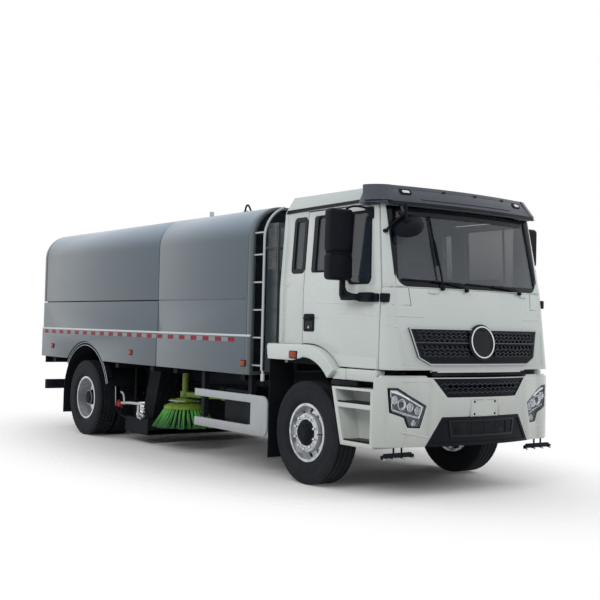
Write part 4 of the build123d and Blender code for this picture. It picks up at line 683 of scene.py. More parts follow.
def arc_band(x, z, inner, outer, first, last, y):
    """A flat ring sector in the side view, from one angle to another in degrees, carried across y."""
    turns = [radians(first + (last - first) * step / 48) for step in range(49)]
    rim = [(x + outer * cos(turn), z + outer * sin(turn)) for turn in turns]
    bore = [(x + inner * cos(turn), z + inner * sin(turn)) for turn in reversed(turns)]
    return prism(rim + bore, "Y", y)


def bead(surface, places, radius, proud=0.0, smooth=True):
    """A half-sunk round line along a surface."""
    return pipe([surface(u, v, proud) for u, v in places], radius, smooth)


def softened(node, body, slot, paint, width, cut_low=None, bore=None):
    """A merged copy of a panel's mesh with its sharp edges rounded, in place of the panel.

    cut_low ends it at that height, and bore opens a hole along Y, at (x, z), to a radius.
    """
    part = bmesh.new()
    part.from_mesh(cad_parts[node].data)
    bmesh.ops.remove_doubles(part, verts=part.verts, dist=0.00005)
    bmesh.ops.dissolve_limit(part, angle_limit=radians(0.8), verts=part.verts[:], edges=part.edges[:])
    if bore:
        axis_x, axis_z, radius = bore
        for vert in part.verts:
            off = Vector((vert.co.x - axis_x, 0.0, vert.co.z - axis_z))
            if 0.0 < off.length < radius:
                vert.co += off.normalized() * (radius - off.length)
    if cut_low:
        geom = part.verts[:] + part.edges[:] + part.faces[:]
        bmesh.ops.bisect_plane(
            part, geom=geom, plane_co=(0, 0, cut_low), plane_no=(0, 0, 1), clear_inner=True)
        bmesh.ops.holes_fill(part, edges=[edge for edge in part.edges if edge.is_boundary])
    rounded(part, width, angle=32)
    panel = Shape()
    panel.add(paint, part)
    panel.place(node + "_skin", body, slot, node, smooth=40)


def steps_between(first, last, count):
    return [first + (last - first) * index / (count - 1) for index in range(count)]


def on_side(sign):
    """The cab's side surface on the left (1) or right (-1)."""
    def surface(x, z, proud):
        return Vector((x, sign * (cab_section(z)[0] + proud), z))
    return surface


VISOR_OUT = 0.070


def on_visor(y, z, proud=0.0):
    share = (z - CAB_DRIP) / (CAB_TOP + VISOR_OUT - CAB_DRIP)
    half = CAB_FORM[2][1] + (CAB_FORM[3][1] - CAB_FORM[2][1]) * share + VISOR_OUT
    front = CAB_FORM[2][2] + (CAB_FORM[3][2] - CAB_FORM[2][2]) * share + VISOR_OUT
    return Vector((bowed_x(y, half, front, CAB_CORNER_R + VISOR_OUT, CAB_BOW) + proud, y, z))


VISOR_END_LOW = CAB_HALF + 0.040
VISOR_END_TOP = CAB_HALF - 0.040


def on_visor_end(sign):
    """The visor's broad round end: turn goes from the side, 0, round to the front, in radians."""
    def surface(turn, z, proud):
        share = (z - CAB_DRIP) / (CAB_TOP + VISOR_OUT - CAB_DRIP)
        half = VISOR_END_LOW + (VISOR_END_TOP - VISOR_END_LOW) * share
        front = CAB_FORM[2][2] + (CAB_FORM[3][2] - CAB_FORM[2][2]) * share + VISOR_OUT
        radius = CAB_CORNER_R + VISOR_OUT
        x = front - CAB_BOW - radius + (radius + proud) * sin(max(turn, 0)) + radius * min(turn, 0)
        return Vector((x, sign * (half - radius + (radius + proud) * cos(max(turn, 0))), z))
    return surface


# Panels with softened edges, in place of the sharp ones

# The tip hinge's x and z, and the radius at which the flat facets of its bore clear the pin at any angle
TIP_BORE = (-3.950, 1.130, 0.0335)

PANELS = [
    # node, body, slot, finish, edge radius and, for some, the height of a cut and a wider bore
    ("cab_front_panel", "cab", "cab_paint", "cab_white", 0.006),
    ("cab_roof", "cab", "cab_paint", "cab_white", 0.008),
    ("cab_sides", "cab", "cab_paint", "cab_white", 0.005),
    ("cab_rear_wall", "cab", "cab_paint", "cab_white", 0.005),
    ("front_fenders", "cab", "cab_paint", "cab_white", 0.012),
    ("sun_visor", "cab", "black_plastic", "visor_plastic", 0.008, CAB_DRIP - 0.100),
    ("hopper_box", "hopper", "body_paint", "body_grey", 0.006, None, TIP_BORE),
    ("door_right", "door_right", "cab_paint", "cab_white", 0.005),
    ("door_left", "door_left", "cab_paint", "cab_white", 0.005),
    ("mirror_right", "door_right", "black_plastic", "black_plastic", 0.012),
    ("mirror_left", "door_left", "black_plastic", "black_plastic", 0.012),
    ("front_bumper", "chassis", "cab_paint", "cab_white", 0.006),
    ("cab_steps", "chassis", "cab_paint", "cab_white", 0.006),
    ("side_guards", "chassis", "guard_grey", "guard_grey", 0.006),
    ("body_front_shell", "chassis", "body_paint", "body_grey", 0.004),
    ("body_front_frame", "chassis", "band_grey", "band_grey", 0.010),
    ("side_skirts", "chassis", "body_paint", "body_grey", 0.004),
    ("tailgate", "tailgate", "body_paint", "body_grey", 0.006),
    ("rear_underrun_bar", "chassis", "frame_black", "chassis_black", 0.008),
]
for panel in PANELS:
    softened(*panel)

# CAD pieces that keep their own mesh
PLAIN_NODES = {
    "chassis_black": ["chassis_frame", "body_subframe", "body_front_wall", "suction_ducts", "suction_nozzle",
                      "cab_floor"],
    "axle_iron": ["front_axle", "rear_axle", "powertrain", "knuckle_right", "knuckle_left"],
    "black_plastic": ["bumper_trim", "upper_grille", "side_tanks"],
    "black_rubber": ["mudguards"],
    "wheel_silver": ["front_wheel_right", "front_wheel_left", "rear_wheels_right", "rear_wheels_left"],
    "green_paint": ["brush_arm_right", "brush_arm_left", "brush_head_right", "brush_head_left"],
    "window_glass": ["cab_glass", "door_glass_right", "door_glass_left"],
    "cabin_trim": ["dashboard"],
    "steel": ["ladder"],
    "band_grey": ["air_intake_tower"],
}
for paint, names in PLAIN_NODES.items():
    for name in names:
        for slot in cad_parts[name].material_slots:
            slot.material = FINISHES[paint]


# Wheels

TYRE_HALF = 0.140
SIDEWALL = [
    # out from the tyre's middle, radius
    (0.105, 0.286), (0.105, 0.298), (0.119, 0.318), (0.1295, 0.335), (0.1315, 0.337), (0.1345, 0.344),
    (0.1375, 0.362), (0.1395, 0.385), (0.140, 0.405), (0.1395, 0.432), (0.1385, 0.450), (0.1400, 0.453),
    (0.1400, 0.461), (0.1365, 0.465), (0.1345, 0.484), (0.1325, 0.498),
]
GROOVES = [0.085, 0.030, -0.030, -0.085]
GROOVE_HALF = 0.006
GROOVE_DEEP = 0.014
TREAD_HALF = 0.118
LUGS = 54
LUG_HALF = 0.020
LUG_DEEP = 0.020
DRIVEN_DEEP = 0.010
# On every tyre, and staggered on the driven ones: from, to, and the shift in lugs
SHOULDER_BARS = [(0.094, 0.120, 0.0), (-0.120, -0.094, 0.5)]
CENTRE_BLOCKS = [(0.038, 0.078, 0.5), (-0.078, -0.038, 0.0), (-0.023, 0.023, 0.25)]


def tyre_profile(tread_r):
    """Closed section of a tyre with ring grooves, as (out, radius)."""
    tread = [(TREAD_HALF, tread_r)]
    for groove in GROOVES:
        for side, radius in (
                (1, tread_r), (0.6, tread_r - GROOVE_DEEP), (-0.6, tread_r - GROOVE_DEEP), (-1, tread_r)):
            tread.append((groove + side * GROOVE_HALF, radius))
    tread.append((-TREAD_HALF, tread_r))
    return SIDEWALL + tread + [(-out, radius) for out, radius in reversed(SIDEWALL)]


def tyre(shape, x, y, lugged):
    tread_r = TYRE_R - DRIVEN_DEEP if lugged else TYRE_R
    shape.add("tyre_rubber", lathe(tyre_profile(tread_r), (x, y, AXLE_Z), "Y", steps=72, closed=True))
    for index in range(LUGS):
        turn = Matrix.Translation((x, y, AXLE_Z)) @ Matrix.Rotation(2 * pi * index / LUGS, 4, "Y")
        for low, high, shift in SHOULDER_BARS + (CENTRE_BLOCKS if lugged else []):
            lug = block((-LUG_HALF, LUG_HALF), (low, high), (TYRE_R - LUG_DEEP, TYRE_R))
            spread = Matrix.Rotation(2 * pi * shift / LUGS, 4, "Y")
            bmesh.ops.transform(lug, matrix=turn @ spread, verts=lug.verts)
            shape.add("tyre_rubber", lug)


NUTS = 10
NUT_RING_R = 0.166
HUB_R = 0.101
HUB_SKIRT_R = 0.136
HUB_BOLT_R = 0.080


def wheel_fittings(shape, x, face, hub_end, sign, dish=0.0):
    """Nuts on a raised dish or on the disc, the black hub cover with its bolts, and a valve."""
    if dish:
        edge = [
            (0.0, 0.202), (dish - 0.016, 0.198), (dish - 0.005, 0.195), (dish, 0.186), (dish, HUB_R),
            (0.0, HUB_R)]
        shape.add("wheel_silver", lathe(
            [(sign * (face + out), radius) for out, radius in edge], (x, 0, AXLE_Z), "Y", steps=64))
        face += dish
    for index in range(NUTS):
        angle = 2 * pi * (index + 0.5) / NUTS
        across, up = NUT_RING_R * cos(angle), NUT_RING_R * sin(angle)
        foot = Vector((x + across, sign * (face - 0.004), AXLE_Z + up))
        out = Vector((0, sign, 0))
        shape.add("chrome", rod(foot, foot + out * 0.010, 0.024, 20))
        shape.add("chrome", rod(foot + out * 0.008, foot + out * 0.034, 0.018, 6, tip=0.0165, soft=0.002))
        shape.add("chrome", rod(foot + out * 0.033, foot + out * 0.044, 0.0125, 12, tip=0.006))
        bolt = Vector((
            x + HUB_BOLT_R * cos(angle), sign * (hub_end - 0.002), AXLE_Z + HUB_BOLT_R * sin(angle)))
        shape.add("chassis_black", rod(bolt, bolt + out * 0.010, 0.009, 6))
    shape.add("chassis_black", lathe(
        [(sign * (face - 0.006), HUB_SKIRT_R), (sign * (face + 0.008), HUB_SKIRT_R - 0.003),
         (sign * (face + 0.014), 0.112), (sign * (hub_end - 0.010), HUB_R),
         (sign * (hub_end + 0.001), HUB_R - 0.006), (sign * (hub_end + 0.003), 0.062),
         (sign * (hub_end + 0.012), 0.056), (sign * (hub_end + 0.014), 0.0)], (x, 0, AXLE_Z), "Y",
        steps=40))
    stem = Vector((x + 0.245, sign * (face - 0.020), AXLE_Z))
    shape.add("black_rubber", rod(stem, stem + Vector((-0.020, sign * 0.050, 0)), 0.006, 10))


FRONT_DISC_Y = 1.098
FRONT_HUB_Y = 1.186
FRONT_DISH = 0.044
REAR_DISC_Y = 0.941
REAR_HUB_Y = 1.162
for side, sign in SIDES:
    front_y = middle("front_tyre_" + side).y
    rear_low, rear_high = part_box("rear_tyres_" + side)
    rubber = Shape()
    tyre(rubber, FRONT_AXLE, front_y, False)
    rubber.place("front_tyre_tread_" + side, "front_wheel_" + side, "tyre_black", "front_tyre_" + side)
    rubber = Shape()
    tyre(rubber, REAR_AXLE, rear_low.y + TYRE_HALF, True)
    tyre(rubber, REAR_AXLE, rear_high.y - TYRE_HALF, True)
    rubber.place("rear_tyre_treads_" + side, "rear_wheels_" + side, "tyre_black", "rear_tyres_" + side)
    fittings = Shape()
    wheel_fittings(fittings, FRONT_AXLE, FRONT_DISC_Y, FRONT_HUB_Y, sign, FRONT_DISH)
    fittings.place("front_wheel_nuts_" + side, "front_wheel_" + side, "rim_silver")
    fittings = Shape()
    wheel_fittings(fittings, REAR_AXLE, REAR_DISC_Y, REAR_HUB_Y, sign)
    fittings.place("rear_wheel_nuts_" + side, "rear_wheels_" + side, "rim_silver")


# Windows: rubber seals, black glass borders and wipers

WINDOW_TOP = CAB_DRIP - 0.076
WINDOW_LOW = CAB_BELT + 0.165
WINDOW_DIP = CAB_BELT + 0.032
DOOR_TOP_FRONT = NOSE - 0.430
DOOR_WINDOW = [
    (DOOR_REAR + 0.152, WINDOW_TOP), (DOOR_REAR + 0.152, WINDOW_LOW), (DOOR_FRONT - 0.580, WINDOW_LOW),
    (DOOR_FRONT - 0.460, WINDOW_DIP), (DOOR_FRONT - 0.125, WINDOW_DIP), (DOOR_TOP_FRONT - 0.058, WINDOW_TOP),
]
QUARTER = (CAB_REAR + 0.230, DOOR_REAR - 0.051)
QUARTER_BORDER = 0.043
QUARTER_WINDOW = [
    (QUARTER[0] - QUARTER_BORDER, WINDOW_TOP + 0.004), (QUARTER[0] - QUARTER_BORDER, WINDOW_LOW - 0.004),
    (QUARTER[1] + QUARTER_BORDER, WINDOW_LOW - 0.004), (QUARTER[1] + QUARTER_BORDER, WINDOW_TOP + 0.004),
]
SCREEN_LOW = CAB_BELT + 0.015
SCREEN_TOP = CAB_DRIP - 0.035
SCREEN = mirrored([(CAB_HALF - 0.140, SCREEN_LOW), (CAB_HALF - 0.200, SCREEN_TOP)])
WINDOW_ROUND = 0.050
SCREEN_ROUND = 0.120


def round_corners(shape, surface, outline, radius, which):
    """White fillers in the named corners of a window."""
    for index in which:
        before, after = outline[index - 1], outline[(index + 1) % len(outline)]
        shape.add("cab_white", corner_fill(surface, outline[index], before, after, radius, 0.0015, 0.016))


for side, sign in SIDES:
    seal = Shape()
    seal.add("black_rubber", sheet_on(
        on_side(sign), DOOR_WINDOW, 0.001, 0.021, corner=WINDOW_ROUND, hole=0.020))
    divider_x = DOOR_FRONT - 0.50
    divider = oblong((divider_x, divider_x + 0.024), (WINDOW_LOW - 0.03, WINDOW_TOP))
    seal.add("black_rubber", sheet_on(on_side(sign), divider, -0.008, 0.010))
    rear, front = DOOR_REAR + 0.107, DOOR_REAR + 0.170
    border = oblong((rear, front), (WINDOW_LOW, WINDOW_TOP))
    seal.add("gloss_black", sheet_on(on_side(sign), border, 0.0016, 0.012, corner=0.030))
    round_corners(seal, on_side(sign), DOOR_WINDOW, WINDOW_ROUND, (4, 5))
    seal.place("door_window_seal_" + side, "door_" + side, "black_rubber")
seal = Shape()
for sign in (-1, 1):
    seal.add("gloss_black", sheet_on(
        on_side(sign), QUARTER_WINDOW, 0.0012, 0.018, corner=WINDOW_ROUND, hole=QUARTER_BORDER + 0.004))
    moulding = [
        (CAB_REAR + 0.03, CAB_DRIP - 0.015), (NOSE - 0.600, CAB_DRIP + 0.007),
        (NOSE - 0.600, CAB_DRIP + 0.043), (CAB_REAR + 0.03, CAB_DRIP + 0.021)]
    seal.add("black_plastic", sheet_on(on_side(sign), moulding, 0.010, 0.016))
seal.add("gloss_black", sheet_on(on_cab_front, SCREEN, -0.003, 0.014, hole=0.030))
round_corners(seal, on_cab_front, SCREEN, SCREEN_ROUND, [
    i for i, place in enumerate(SCREEN) if place[1] == SCREEN_LOW])
for sign in (-1, 1):
    wing = [
        (CAB_HALF - 0.156, SCREEN_LOW + 0.070), (CAB_HALF - 0.132, SCREEN_LOW + 0.110),
        (CAB_HALF - 0.128, SCREEN_TOP), (CAB_HALF - 0.218, SCREEN_TOP)]
    seal.add("gloss_black", sheet_on(on_cab_front, flipped(sign, wing), 0.0012, 0.008, pitch=0.02))
cowl = mirrored([(CAB_HALF - 0.150, SCREEN_LOW), (CAB_HALF - 0.155, SCREEN_LOW + 0.050)])
seal.add("gloss_black", sheet_on(on_cab_front, cowl, -0.008, 0.006))
sun_strip = mirrored(placed(CAB_HALF, SCREEN_TOP, [(-0.290, -0.085), (-0.203, -0.004)]))
seal.add("gloss_black", sheet_on(on_cab_front, sun_strip, -0.006, 0.008))
seal.place("cab_window_seals", "cab", "black_rubber")

WIPERS = [
    # pivot, elbow, blade's two ends, as (y, z) on the windscreen
    ((-0.145, CAB_BELT - 0.002), (-0.200, CAB_BELT + 0.066),
     (-0.913, CAB_BELT + 0.083), (-0.215, CAB_BELT + 0.064)),
    ((0.649, CAB_BELT - 0.001), (0.610, CAB_BELT + 0.040),
     (-0.135, CAB_BELT + 0.066), (0.600, CAB_BELT + 0.042)),
    ((-0.453, CAB_BELT + 0.004), (-0.462, CAB_BELT + 0.120),
     (-0.476, CAB_BELT + 0.230), (-0.520, CAB_BELT + 0.714)),
]
wipers = Shape()
for pivot, elbow, blade_a, blade_b in WIPERS:
    base = on_cab_front(*pivot, 0.0)
    wipers.add("black_plastic", rod(
        base - Vector((0.02, 0, 0)), base + Vector((0.03, 0, 0)), 0.022, 16, tip=0.014))
    blade_middle = ((blade_a[0] + blade_b[0]) / 2, (blade_a[1] + blade_b[1]) / 2)
    arm = [on_cab_front(*pivot, 0.020), on_cab_front(*elbow, 0.030), on_cab_front(*blade_middle, 0.020)]
    wipers.add("black_plastic", pipe(arm, 0.009))
    spans = steps_between(0, 1, 7)
    line = [
        (blade_a[0] + (blade_b[0] - blade_a[0]) * share, blade_a[1] + (blade_b[1] - blade_a[1]) * share)
        for share in spans]
    wipers.add("black_rubber", pipe([on_cab_front(y, z, 0.000) for y, z in line], 0.008))
    wipers.add("black_plastic", pipe([on_cab_front(y, z, 0.010) for y, z in line], 0.006))
for y in (-0.565, 0.718):
    wipers.add("cab_white", sheet_on(
        on_cab_front, [(y - 0.055, CAB_BELT - 0.042), (y + 0.055, CAB_BELT - 0.042),
         (y + 0.045, CAB_BELT - 0.006), (y - 0.045, CAB_BELT - 0.006)], 0.010, 0.014, corner=0.012))
wipers.place("wipers", "cab", "black_plastic")


# Cab front: grille with a bare disc in its ring, panel seams and creases

GRILLE = [(0.886, CAB_LOW + 0.400), (0.800, CAB_LOW + 0.115), (0.673, CAB_LOW + 0.051)]
GRILLE_PROUD = 0.014
GRILLE_SPLIT = CAB_LOW + 0.262
GRILLE_LEAN = -7.4
GRILLE_ROWS = (0.126, 0.160, 0.194, 0.288, 0.322, 0.356)
RING_R = 0.152
grille = Shape()
grille.add("gloss_black", sheet_on(on_cab_front, mirrored(GRILLE), 0.002, 0.003))
grille.add("steel", sheet_on(on_cab_front, mirrored(GRILLE), GRILLE_PROUD + 0.008, 0.010, hole=0.011))
grille.add("gloss_black", sheet_on(
    on_cab_front, mirrored([(y - 0.013, z) for y, z in GRILLE]), GRILLE_PROUD + 0.003, 0.004, hole=0.022))
split_line = mirrored([(0.835, GRILLE_SPLIT - 0.005), (0.835, GRILLE_SPLIT + 0.005)])
grille.add("visor_plastic", sheet_on(on_cab_front, split_line, GRILLE_PROUD + 0.005, 0.006))


def zigzag(surface, first, last, z, proud):
    """A fine honeycomb line across a grille, from one y to the other."""
    count = int(abs(last - first) / HONEYCOMB)
    places = [
        (first + (last - first) * i / count, z + (i % 2) * HONEYCOMB * 0.45) for i in range(count + 1)]
    return bead(surface, places, 0.0028, proud, smooth=False)


HONEYCOMB = 0.036
for up in GRILLE_ROWS:
    half = 0.735 + 0.30 * (up - 0.115)
    for sign in (-1, 1):
        grille.add("visor_plastic", zigzag(
            on_cab_front, sign * 0.185, sign * half, CAB_LOW + up, GRILLE_PROUD + 0.002))
ring_at = on_cab_front(0.0, CAB_LOW + 0.270, GRILLE_PROUD)
ring_section = [
    (0.020 + 0.011 * sin(2 * pi * i / 12), RING_R + 0.008 * cos(2 * pi * i / 12)) for i in range(12)]
grille.add("chrome", lathe(ring_section, ring_at, "X", closed=True, tilt=GRILLE_LEAN))
grille.add("gloss_black", lathe(
    [(-0.004, RING_R + 0.026), (0.008, RING_R + 0.026), (0.012, RING_R + 0.016), (0.014, RING_R),
     (0.016, RING_R - 0.030), (0.010, RING_R - 0.036), (0.014, 0.0)], ring_at, "X", tilt=GRILLE_LEAN))
brow = [
    (-0.20, GRILLE[0][1] - 0.020), (0.20, GRILLE[0][1] - 0.020), (0.13, GRILLE[0][1] - 0.062),
    (-0.13, GRILLE[0][1] - 0.062)]
grille.add("gloss_black", sheet_on(on_cab_front, brow, GRILLE_PROUD + 0.020, 0.022, corner=0.010))
grille.place("grille_surround", "cab", "black_plastic")

creases = Shape()
CREASE_R = 0.006
for sign in (-1, 1):
    seam = [(0.848, CAB_BELT - 0.004), (0.833, CAB_BELT - 0.164), (1.035, CAB_BELT - 0.165)]
    creases.add("black_rubber", bead(on_cab_front, flipped(sign, seam), 0.0030, -0.001, smooth=False))
    upper = [(y, CAB_BELT - 0.268 - 0.018 * (1.0 - y)) for y in steps_between(1.08, 0.70, 9)]
    corner = placed(0.0, CAB_LOW, [
        (1.090, 0.420), (1.030, 0.412), (0.985, 0.395), (0.990, 0.300), (0.965, 0.060)])
    lower = [(y, CAB_LOW + 0.020) for y in steps_between(1.05, 0.05, 13)]
    for line, radius, proud in (
            (upper, CREASE_R, -0.002), (corner, 0.009, -0.003), (lower, CREASE_R, -0.002)):
        creases.add("cab_white", bead(on_cab_front, flipped(sign, line), radius, proud))
lower_lip = mirrored([(0.640, CAB_LOW - 0.022), (0.640, CAB_LOW + 0.006)])
creases.add("cab_white", sheet_on(on_cab_front, lower_lip, -0.002, 0.030))
creases.add("chassis_black", block(
    span(NOSE, -0.085, -0.070), (-0.640, 0.640), span(CAB_LOW, -0.055, -0.010)))
creases.place("cab_front_creases", "cab", "cab_paint")


# Doors: handles and creases; then fender lamps, skirts and sills

for side, sign in SIDES:
    skin = on_side(sign)
    door = Shape()
    low, high = CAB_BELT - 0.438, CAB_BELT - 0.256
    rear, front = DOOR_REAR + 0.014, DOOR_REAR + 0.198
    plate = oblong((rear, front), (low, high))
    door.add("black_plastic", sheet_on(skin, plate, 0.003, 0.012, corner=0.022))
    recess = oblong((rear + 0.03, front - 0.03), (low + 0.03, high - 0.075))
    door.add("gloss_black", sheet_on(skin, recess, 0.005, 0.008, corner=0.015))
    grip_z = high - 0.045
    door.add("black_plastic", pipe(
        [skin(rear + 0.022, grip_z, 0.0), skin(rear + 0.030, grip_z, 0.030),
         skin((rear + front) / 2, grip_z, 0.034), skin(front - 0.030, grip_z, 0.030),
         skin(front - 0.022, grip_z, 0.0)], 0.012))
    door.add("steel", rod(
        skin((rear + front) / 2, low + 0.045, 0.0), skin((rear + front) / 2, low + 0.045, 0.009), 0.014,
        16))
    door.add("cab_white", bead(
        skin, [(x, CAB_BELT - 0.246 - 0.024 * (x - DOOR_FRONT + 0.55) / 0.53)
         for x in steps_between(DOOR_FRONT - 0.60, DOOR_FRONT - 0.02, 5)], CREASE_R, -0.003))
    raised = placed(DOOR_FRONT, CAB_LOW, [(-0.66, 0.124), (-0.012, 0.109), (-0.012, 0.006), (-0.57, 0.006)])
    door.add("cab_white", sheet_on(skin, raised, 0.006, 0.010, corner=0.008))
    door.add("cab_white", bead(
        skin, [(x, CAB_BELT - 0.141 - 0.02 * (x - DOOR_REAR - 0.28) / 0.64)
         for x in steps_between(DOOR_REAR + 0.22, DOOR_FRONT - 0.30, 5)], CREASE_R, -0.003))
    door.place("door_handle_" + side, "door_" + side, "black_plastic")

fender = Shape()
ARCH_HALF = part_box("front_fenders")[1].y
ARCH_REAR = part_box("front_fenders")[0].x
ARCH_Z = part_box("front_fenders")[1].z - 0.666
SILL_IN = 1.060
SILL_OUT = 1.160
for sign in (-1, 1):
    lamp_x, lamp_z = FRONT_AXLE - 0.158, CAB_LOW + 0.095
    face = sign * ARCH_HALF
    fender.add("black_rubber", block(
        around(lamp_x, 0.072), (face - sign * 0.01, face + sign * 0.006), around(lamp_z, 0.042), 0.008))
    fender.add("amber_lens", block(
        around(lamp_x, 0.062), (face, face + sign * 0.018), around(lamp_z, 0.033), 0.010, 3))
    # Deeper skirt along the straight rear end, pointed behind; then the sill and a strip below it
    skirt_top, skirt_low = ARCH_Z + 0.560, ARCH_Z + 0.500
    side_view = [
        (ARCH_REAR - 0.004, ARCH_Z + 0.640), (ARCH_REAR + 0.020, skirt_low),
        (FRONT_AXLE - 0.180, skirt_low), (FRONT_AXLE - 0.020, ARCH_Z + 0.530),
        (FRONT_AXLE - 0.020, skirt_top)]
    fender.add("cab_white", prism(side_view, "Y", (face - sign * 0.018, face + sign * 0.001), 0.004))
    joint = placed(FRONT_AXLE, CAB_LOW, [
        (0.430, -0.118), (0.640, -0.118), (0.640, -0.010), (0.520, -0.010)])
    fender.add("cab_white", prism(joint, "Y", sided(sign, SILL_IN, SILL_OUT), 0.008))
    strip_y = sided(sign, SILL_OUT - 0.015, SILL_IN)
    fender.add("black_plastic", block(
        span(FRONT_AXLE, 0.400, 0.805), strip_y, span(CAB_LOW, -0.178, -0.124), 0.006))
fender.place("fender_lamps", "cab", "lamp_clear")


# Sun visor: lamps, lines, broad ends and the round mirror; then the door mirrors

visor = Shape()
for sign in (-1, 1):
    y, z = sign * 0.78, CAB_TOP - 0.058
    lens = oblong(around(y, 0.040), around(z, 0.013))
    visor.add("black_plastic", sheet_on(
        on_visor, [(y + 1.6 * (u - y), z + 2.0 * (v - z)) for u, v in lens], 0.010, 0.020, corner=0.02))
    visor.add("clear_lens", sheet_on(on_visor, lens, 0.014, 0.014, corner=0.012))
line_z = CAB_TOP - 0.122
line = oblong((-0.62, 0.62), around(line_z, 0.006))
visor.add("visor_plastic", sheet_on(on_visor, line, 0.008, 0.012))
hem = oblong((-1.02, 1.02), span(CAB_DRIP, -0.030, 0.006))
visor.add("black_plastic", sheet_on(on_visor, hem, 0.003, 0.006))
for y in steps_between(-0.30, 0.55, 3):
    clip = on_visor(y, CAB_TOP - 0.030, 0.0)
    visor.add("black_plastic", block(
        span(clip.x, -0.03, 0.006), around(clip.y, 0.022), span(clip.z, -0.012, 0.010), 0.004))
for sign in (-1, 1):
    end = [
        (0.0, CAB_DRIP + 0.012), (1.45, CAB_DRIP + 0.012), (1.45, CAB_TOP + 0.004), (0.12, CAB_TOP + 0.004)]
    visor.add("visor_plastic", sheet_on(on_visor_end(sign), end, 0.0, 0.060, corner=0.015))
crest = mirrored([(1.000, CAB_TOP - 0.030), (0.996, CAB_TOP + 0.004)])
visor.add("visor_plastic", sheet_on(on_visor, crest, 0.0015, 0.030, pitch=0.02))

# Round front mirror: its back leans forwards and up, its glass looks down
dome_x, dome_y, dome_z = NOSE - 0.240, -(CAB_HALF - 0.285), CAB_DRIP - 0.225
DOME_LEAN = -46
DOME_YAW = -46
dome = [
    (-0.040, 0.0), (-0.036, 0.106), (-0.030, 0.150), (-0.018, 0.157), (-0.006, 0.155), (0.020, 0.139),
    (0.042, 0.106), (0.054, 0.063), (0.058, 0.0)]
visor.add("black_plastic", lathe(dome, (dome_x, dome_y, dome_z), "X", tilt=DOME_LEAN, yaw=DOME_YAW))
visor.add("mirror_glass", lathe(
    [(-0.037, 0.132), (-0.042, 0.128), (-0.050, 0.070), (-0.052, 0.0)], (dome_x, dome_y, dome_z), "X",
    tilt=DOME_LEAN, yaw=DOME_YAW))
visor.add("black_plastic", block(
    span(dome_x, -0.010, 0.050), span(dome_y, -0.060, 0.010), span(dome_z, 0.020, 0.060), 0.010))
visor.add("black_plastic", pipe(
    [(dome_x, dome_y - 0.030, CAB_DRIP - 0.020), (dome_x, dome_y - 0.030, dome_z + 0.120),
     (dome_x + 0.020, dome_y - 0.030, dome_z + 0.040)], 0.016))
brace = on_cab_front(dome_y - 0.185, dome_z - 0.060, 0.0)
visor.add("black_plastic", pipe(
    [(dome_x, dome_y - 0.02, dome_z + 0.105), (dome_x - 0.03, dome_y - 0.12, dome_z + 0.060),
     brace + Vector((0.012, -0.004, 0))], 0.012))
visor.add("black_plastic", rod(brace - Vector((0.02, 0, 0)), brace + Vector((0.03, -0.012, 0)), 0.020, 14))
visor.place("visor_fittings", "cab", "black_plastic")

for side, sign in SIDES:
    glass = Shape()
    rear = DOOR_FRONT - 0.470
    inner, outer = sign * (CAB_HALF + 0.088), sign * (CAB_HALF + 0.282)
    for z in (span(CAB_BELT, 0.105, 0.270), (CAB_BELT + 0.290, CAB_DRIP - 0.110)):
        glass.add("mirror_glass", block(around(rear, 0.004), (inner, outer), z, 0.003))
    shell_y = sided(sign, CAB_HALF + 0.054, CAB_HALF + 0.328)
    for z in (span(CAB_BELT, 0.064, 0.322), (CAB_BELT + 0.328, CAB_DRIP - 0.074)):
        glass.add("black_plastic", block(span(rear, 0.006, 0.150), shell_y, z, 0.042, 4))
    stay_z = CAB_DRIP - 0.040
    glass.add("black_plastic", pipe(
        [(rear + 0.300, sign * (CAB_HALF - 0.040), stay_z - 0.050),
         (rear + 0.250, sign * (CAB_HALF + 0.035), stay_z - 0.010),
         (rear + 0.100, sign * (CAB_HALF + 0.095), stay_z), (rear + 0.075, sign * (CAB_HALF + 0.140),
          stay_z - 0.060)], 0.011))
    elbow = placed(DOOR_TOP_FRONT, WINDOW_TOP, [
        (-0.150, -0.010), (-0.045, -0.090), (-0.024, -0.085), (-0.040, 0.030), (-0.150, 0.030)])
    glass.add("black_plastic", sheet_on(on_side(sign), elbow, 0.014, 0.020, corner=0.010))
    # The bracket goes on over the door's edge, in a second half on the cab
    bracket_z = span(CAB_BELT, -0.140, -0.060)
    glass.add("black_plastic", block(
        span(DOOR_FRONT, -0.090, -0.005), sided(sign, CAB_HALF - 0.006, CAB_HALF + 0.024), bracket_z,
        0.008))
    post = sign * (CAB_HALF + 0.125)
    glass.add("black_plastic", pipe(
        [(DOOR_FRONT - 0.15, sign * (CAB_HALF + 0.03), CAB_BELT - 0.08),
         (DOOR_FRONT - 0.32, post, CAB_BELT - 0.09), (DOOR_FRONT - 0.40, post, CAB_BELT + 0.02),
         (DOOR_FRONT - 0.405, sign * (CAB_HALF + 0.15), CAB_BELT + 0.16)], 0.016))
    glass.place("mirror_glass_" + side, "door_" + side, "black_plastic")

brackets = Shape()
for sign in (-1, 1):
    plan = placed(DOOR_FRONT, 0.0, [
        (0.022, 1.090), (0.022, 1.143), (0.052, 1.132), (0.078, 1.085), (0.068, 1.040)])
    brackets.add("black_plastic", prism(
        [(x, sign * y) for x, y in plan], "Z", span(CAB_BELT, -0.142, -0.058), 0.008))
brackets.place("mirror_brackets", "cab", "black_plastic")


# Bumper: lamps, grilles, valance, white shoulders and spray nozzles

